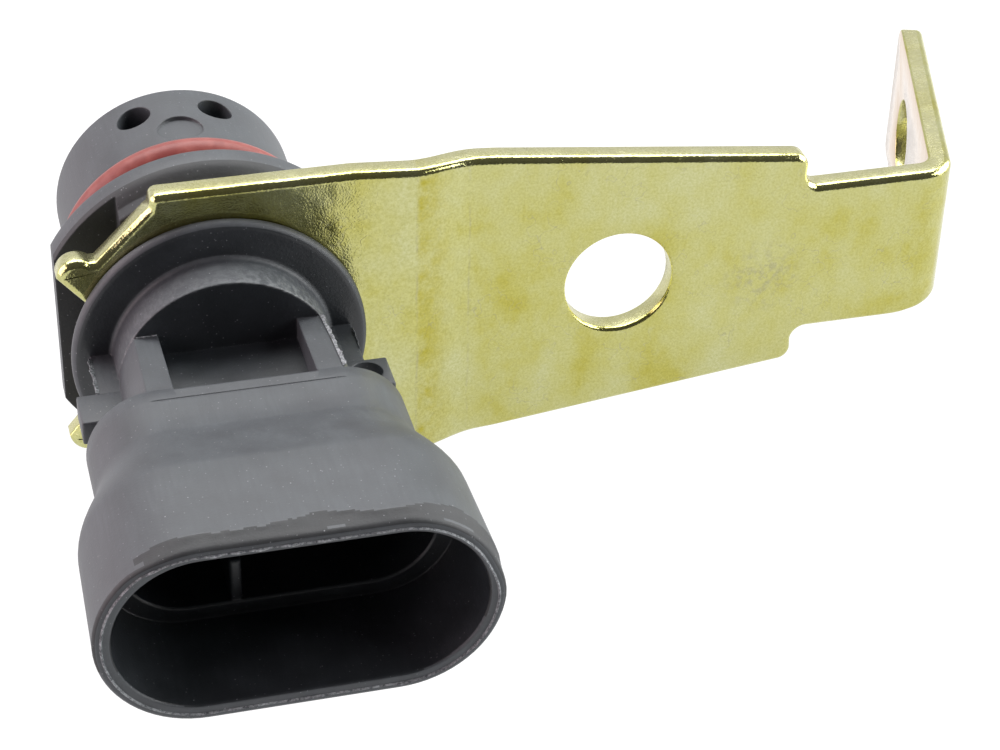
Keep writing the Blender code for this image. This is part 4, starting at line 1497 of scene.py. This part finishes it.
@dataclass
class NoseSeal:
    """The O-ring in the nose's groove, with its moulding's faint seam."""

    radius: float = 9.26
    section: float = 1.31
    depth: float = 10.3
    seam_tall: float = 0.03

    def build(self, rubber: bpy.types.Material) -> bpy.types.Object:
        """Make the seal.

        Args:
            rubber: The seal's rubber.

        Returns:
            The piece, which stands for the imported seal.
        """
        bm = bmesh.new()
        around, across = 160, 32
        rows = []
        for i in range(around):
            a = 2 * math.pi * i / around
            row = []
            for j in range(across):
                b = 2 * math.pi * j / across
                seam = self.seam_tall * math.exp(-((math.cos(b) - 1) / 0.02) ** 2)
                r = self.section + seam
                out = self.radius + r * math.cos(b)
                row.append(bm.verts.new(at(out * math.cos(a), self.depth + r * math.sin(b),
                                           out * math.sin(a))))
            rows.append(row)
        for i in range(around):
            near, far = rows[i], rows[(i + 1) % around]
            for j in range(across):
                k = (j + 1) % across
                bm.faces.new((near[j], near[k], far[k], far[j]))
        bmesh.ops.recalc_face_normals(bm, faces=bm.faces)
        return settle(add_piece("nose_seal", bm, (rubber,), 80.0), "seal_rubber", "o_ring")


@dataclass
class Core:
    """The pieces inside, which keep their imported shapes."""

    def dress(self) -> None:
        """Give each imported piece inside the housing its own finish."""
        drawn, rolled, even = (0.06, 1.5, 0.06), (0.5, 0.1, 0.5), (0.15, 0.15, 0.15)
        tin = InnerFinish("tinned_brass", "A8A498", "D8D4C8", 0.28, drawn, 1.0).make()
        steel = InnerFinish("bare_steel", "6E7073", "9A9C9F", 0.4, rolled, 1.0).make()
        magnet = InnerFinish("nickelled_magnet", "5E6064", "8A8B8E", 0.3, even, 1.0).make()
        resin = InnerFinish("epoxy_moulding", "161618", "242427", 0.45).make()
        fired = InnerFinish("fired_ceramic", "A98F6B", "B89E7A", 0.4, even).make()
        looks = {
            "core_carrier": InnerFinish("core_polyester", "101012", "1C1D1F").make(),
            "hall_chip": resin, "pull_up_resistor": resin, "protection_diode": resin,
            "pole_plate": steel, "back_plate": steel, "magnet": magnet,
            "lead_insulator": InnerFinish("polyimide_film", "B8742A", "C98436", 0.3).make(),
            "circuit_board": InnerFinish("solder_mask", "234A30", "2C5A3A", 0.35, even).make(),
            "capacitor_supply": fired, "capacitor_output": fired,
            **{f"chip_lead_{i}": tin for i in (1, 2, 3)},
            **{f"terminal_{c}": tin for c in "abc"},
        }
        for name, look in looks.items():
            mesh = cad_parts[name].data
            mesh.materials.clear()
            mesh.materials.append(look)
            log.info("%s keeps its packed shape", name)


@dataclass(frozen=True)
class Softbox:
    """A rectangular soft light: its place, the point that it faces, its size in metres, watts."""

    name: str
    place: tuple[float, float, float]
    aim: tuple[float, float, float]
    size: Pair
    power: float
    colour: str = "FFFFFF"

    def hang(self) -> None:
        """Hang the light."""
        data = bpy.data.lights.new(self.name, "AREA")
        data.shape = "RECTANGLE"
        data.size, data.size_y = self.size
        data.energy = self.power
        data.color = linear(self.colour)[:3]
        made = bpy.data.objects.new(self.name, data)
        made.location = self.place
        ahead = Vector(self.aim) - Vector(self.place)
        made.rotation_euler = ahead.to_track_quat("-Z", "Y").to_euler()
        bpy.context.scene.collection.objects.link(made)


@dataclass
class Studio:
    """A lit white table under three wide soft lights, and the camera."""

    lens_mm: float = 94.71
    place: tuple[float, float, float] = (-22.875, 182.117, 111.291)
    azimuth: float = -15.55
    elevation: float = 35.30
    roll: float = 1.62
    floor_z: float = -13.2
    table_m: float = 1.2
    table_glow: float = 1.0
    room: Pair = (0.05, 0.85)
    room_rise: Pair = (0.0, 0.6)
    lights: tuple[Softbox, ...] = (
        Softbox("overhead", (0.03, 0.24, 0.50), (0.015, 0.0, 0.0), (0.75, 0.3), 4.7),
        Softbox("left_side", (-0.6, 0.0, 0.22), (0.0, -0.02, 0.0), (0.8, 0.5), 5.5, "FFE6EC"),
        Softbox("right_side", (0.6, -0.02, 0.25), (0.0, -0.02, 0.0), (0.7, 0.45), 7.5),
    )

    def camera(self) -> None:
        """Place the camera where the photograph was taken from."""
        data = bpy.data.cameras.new("camera")
        data.lens = self.lens_mm
        data.sensor_width = 36.0
        data.clip_start = 0.005
        made = bpy.data.objects.new("camera", data)
        bpy.context.scene.collection.objects.link(made)
        az, el, roll = (math.radians(a) for a in (self.azimuth, self.elevation, self.roll))
        ahead = Vector((-math.sin(az) * math.cos(el), math.cos(az) * math.cos(el),
                        -math.sin(el)))
        level = ahead.cross(Vector((0, 0, 1))).normalized()
        above = level.cross(ahead)
        right = level * math.cos(roll) + above * math.sin(roll)
        turn = Matrix((right, right.cross(ahead), -ahead)).transposed().to_4x4()
        made.matrix_world = Matrix.Translation(at(*self.place)) @ turn
        bpy.context.scene.camera = made

    def floor(self) -> None:
        """Lay the sheet of opal acrylic, lit from below, that the object stands on."""
        bm = bmesh.new()
        bmesh.ops.create_grid(bm, x_segments=2, y_segments=2, size=self.table_m / 2,
                              matrix=Matrix.Translation((0, 0.1, self.floor_z * MM)))
        made = bpy.data.materials.new("lit_acrylic")
        made.use_nodes = True
        tree = made.node_tree
        tone = mottle(tree, 6.0, 2.0)
        colour = add_node(tree, "Mix", {0: tone, 6: linear("404042"), 7: linear("444446")},
                          data_type="RGBA")
        shader = tree.nodes["Principled BSDF"]
        feed(tree, shader, {"Base Color": colour, "Roughness": 0.9,
                            "Emission Color": linear("FFFFFF"),
                            "Emission Strength": self.table_glow})
        add_piece("table", bm, (made,))

    def surround(self) -> None:
        """Set the room: pale behind and at the sides, and dark where the photographer stands."""
        world = bpy.data.worlds.new("surroundings")
        world.use_nodes = True
        bpy.context.scene.world = world
        tree = world.node_tree
        way = add_node(tree, "SeparateXYZ", {"Vector": add_node(tree, "TexCoord")})
        pale = add_node(tree, "MapRange", {"Value": way.outputs["Y"],
                                           "From Min": self.room_rise[0],
                                           "From Max": self.room_rise[1],
                                           "To Min": self.room[0], "To Max": self.room[1]})
        feed(tree, tree.nodes["Background"], {"Color": linear("FFFFFF"), "Strength": pale})

    def light(self) -> None:
        """Hang the lights and show their colours as they are."""
        for softbox in self.lights:
            softbox.hang()
        bpy.context.scene.view_settings.view_transform = "Standard"

    def build(self) -> None:
        """Lay the table, set the room, hang the lights and place the camera."""
        self.floor()
        self.surround()
        self.light()
        self.camera()


def flash_lines() -> list[FlashLine]:
    """Return the torn fins that show round the saddle, the hub and the wings."""
    return [
        FlashLine("flash_right_strip", [(6.8, 26.6, 4.42), (6.95, 30.0, 4.68), (7.0, 33.9, 4.98)],
                  (0.9, 0, 0.5), (0.05, 0.32), 1.0, foot=0.16),
        FlashLine("flash_left_strip_end", [(-6.6, 26.55, 4.38), (-5.1, 26.55, 4.38)],
                  (0, 1, 0.35), (0.05, 0.9), 2.0, foot=0.14),
        FlashLine("flash_left_wing", [(-9.7, 23.6, 1.0), (-9.7, 28.0, 1.0)],
                  (-0.8, 0, 0.5), (0.05, 0.45), 3.0, foot=0.14),
        FlashLine("flash_right_wing", [(9.7, 23.8, 1.0), (9.7, 26.6, 1.0)],
                  (0.3, 0, 0.9), (0.03, 0.14), 4.0),
    ]


def main() -> None:
    """Build and dress the sensor, and light it."""
    logging.basicConfig(level=logging.INFO, format="%(message)s")
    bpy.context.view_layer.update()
    torn = TornNylon().make()
    looks = {
        Wear.HANDLED: MouldedNylon().make(),
        # A darker, glossier nylon painted as shade in the pocket, the socket and on the faces
        # behind the disc.
        Wear.SHADE_PAINTED: MouldedNylon(name="shade_painted_nylon", skin="1E2124", bloom="2C3034",
                                     roughness=(0.34, 0.42)).make(),
        Wear.TORN: torn,
        # A darker, rougher nylon: really rubbed on the mouth's worn band, painted shade on the
        # flange's faces.
        Wear.RUBBED_AND_SHADED: MouldedNylon(name="rubbed_and_shaded_nylon", skin="181A1C", bloom="282B2E",
                                  roughness=(0.56, 0.66)).make(),
    }
    SensorHousing(Nose(), Waist(), Shroud(), Terminals()).build(looks)
    for line in flash_lines():
        line.build(torn)
    sheared = ChromatedZinc(name="sheared_zinc", straw="C9C7A0", gold="C6C392", deep="C0BC84",
                            roughness=(0.22, 0.30), pebble_mm=0.3)
    MountingBracket().build(ChromatedZinc().make(), sheared.make())
    NoseSeal().build(SealRubber().make())
    Core().dress()
    Studio().build()


if __name__ == "__main__":
    main()
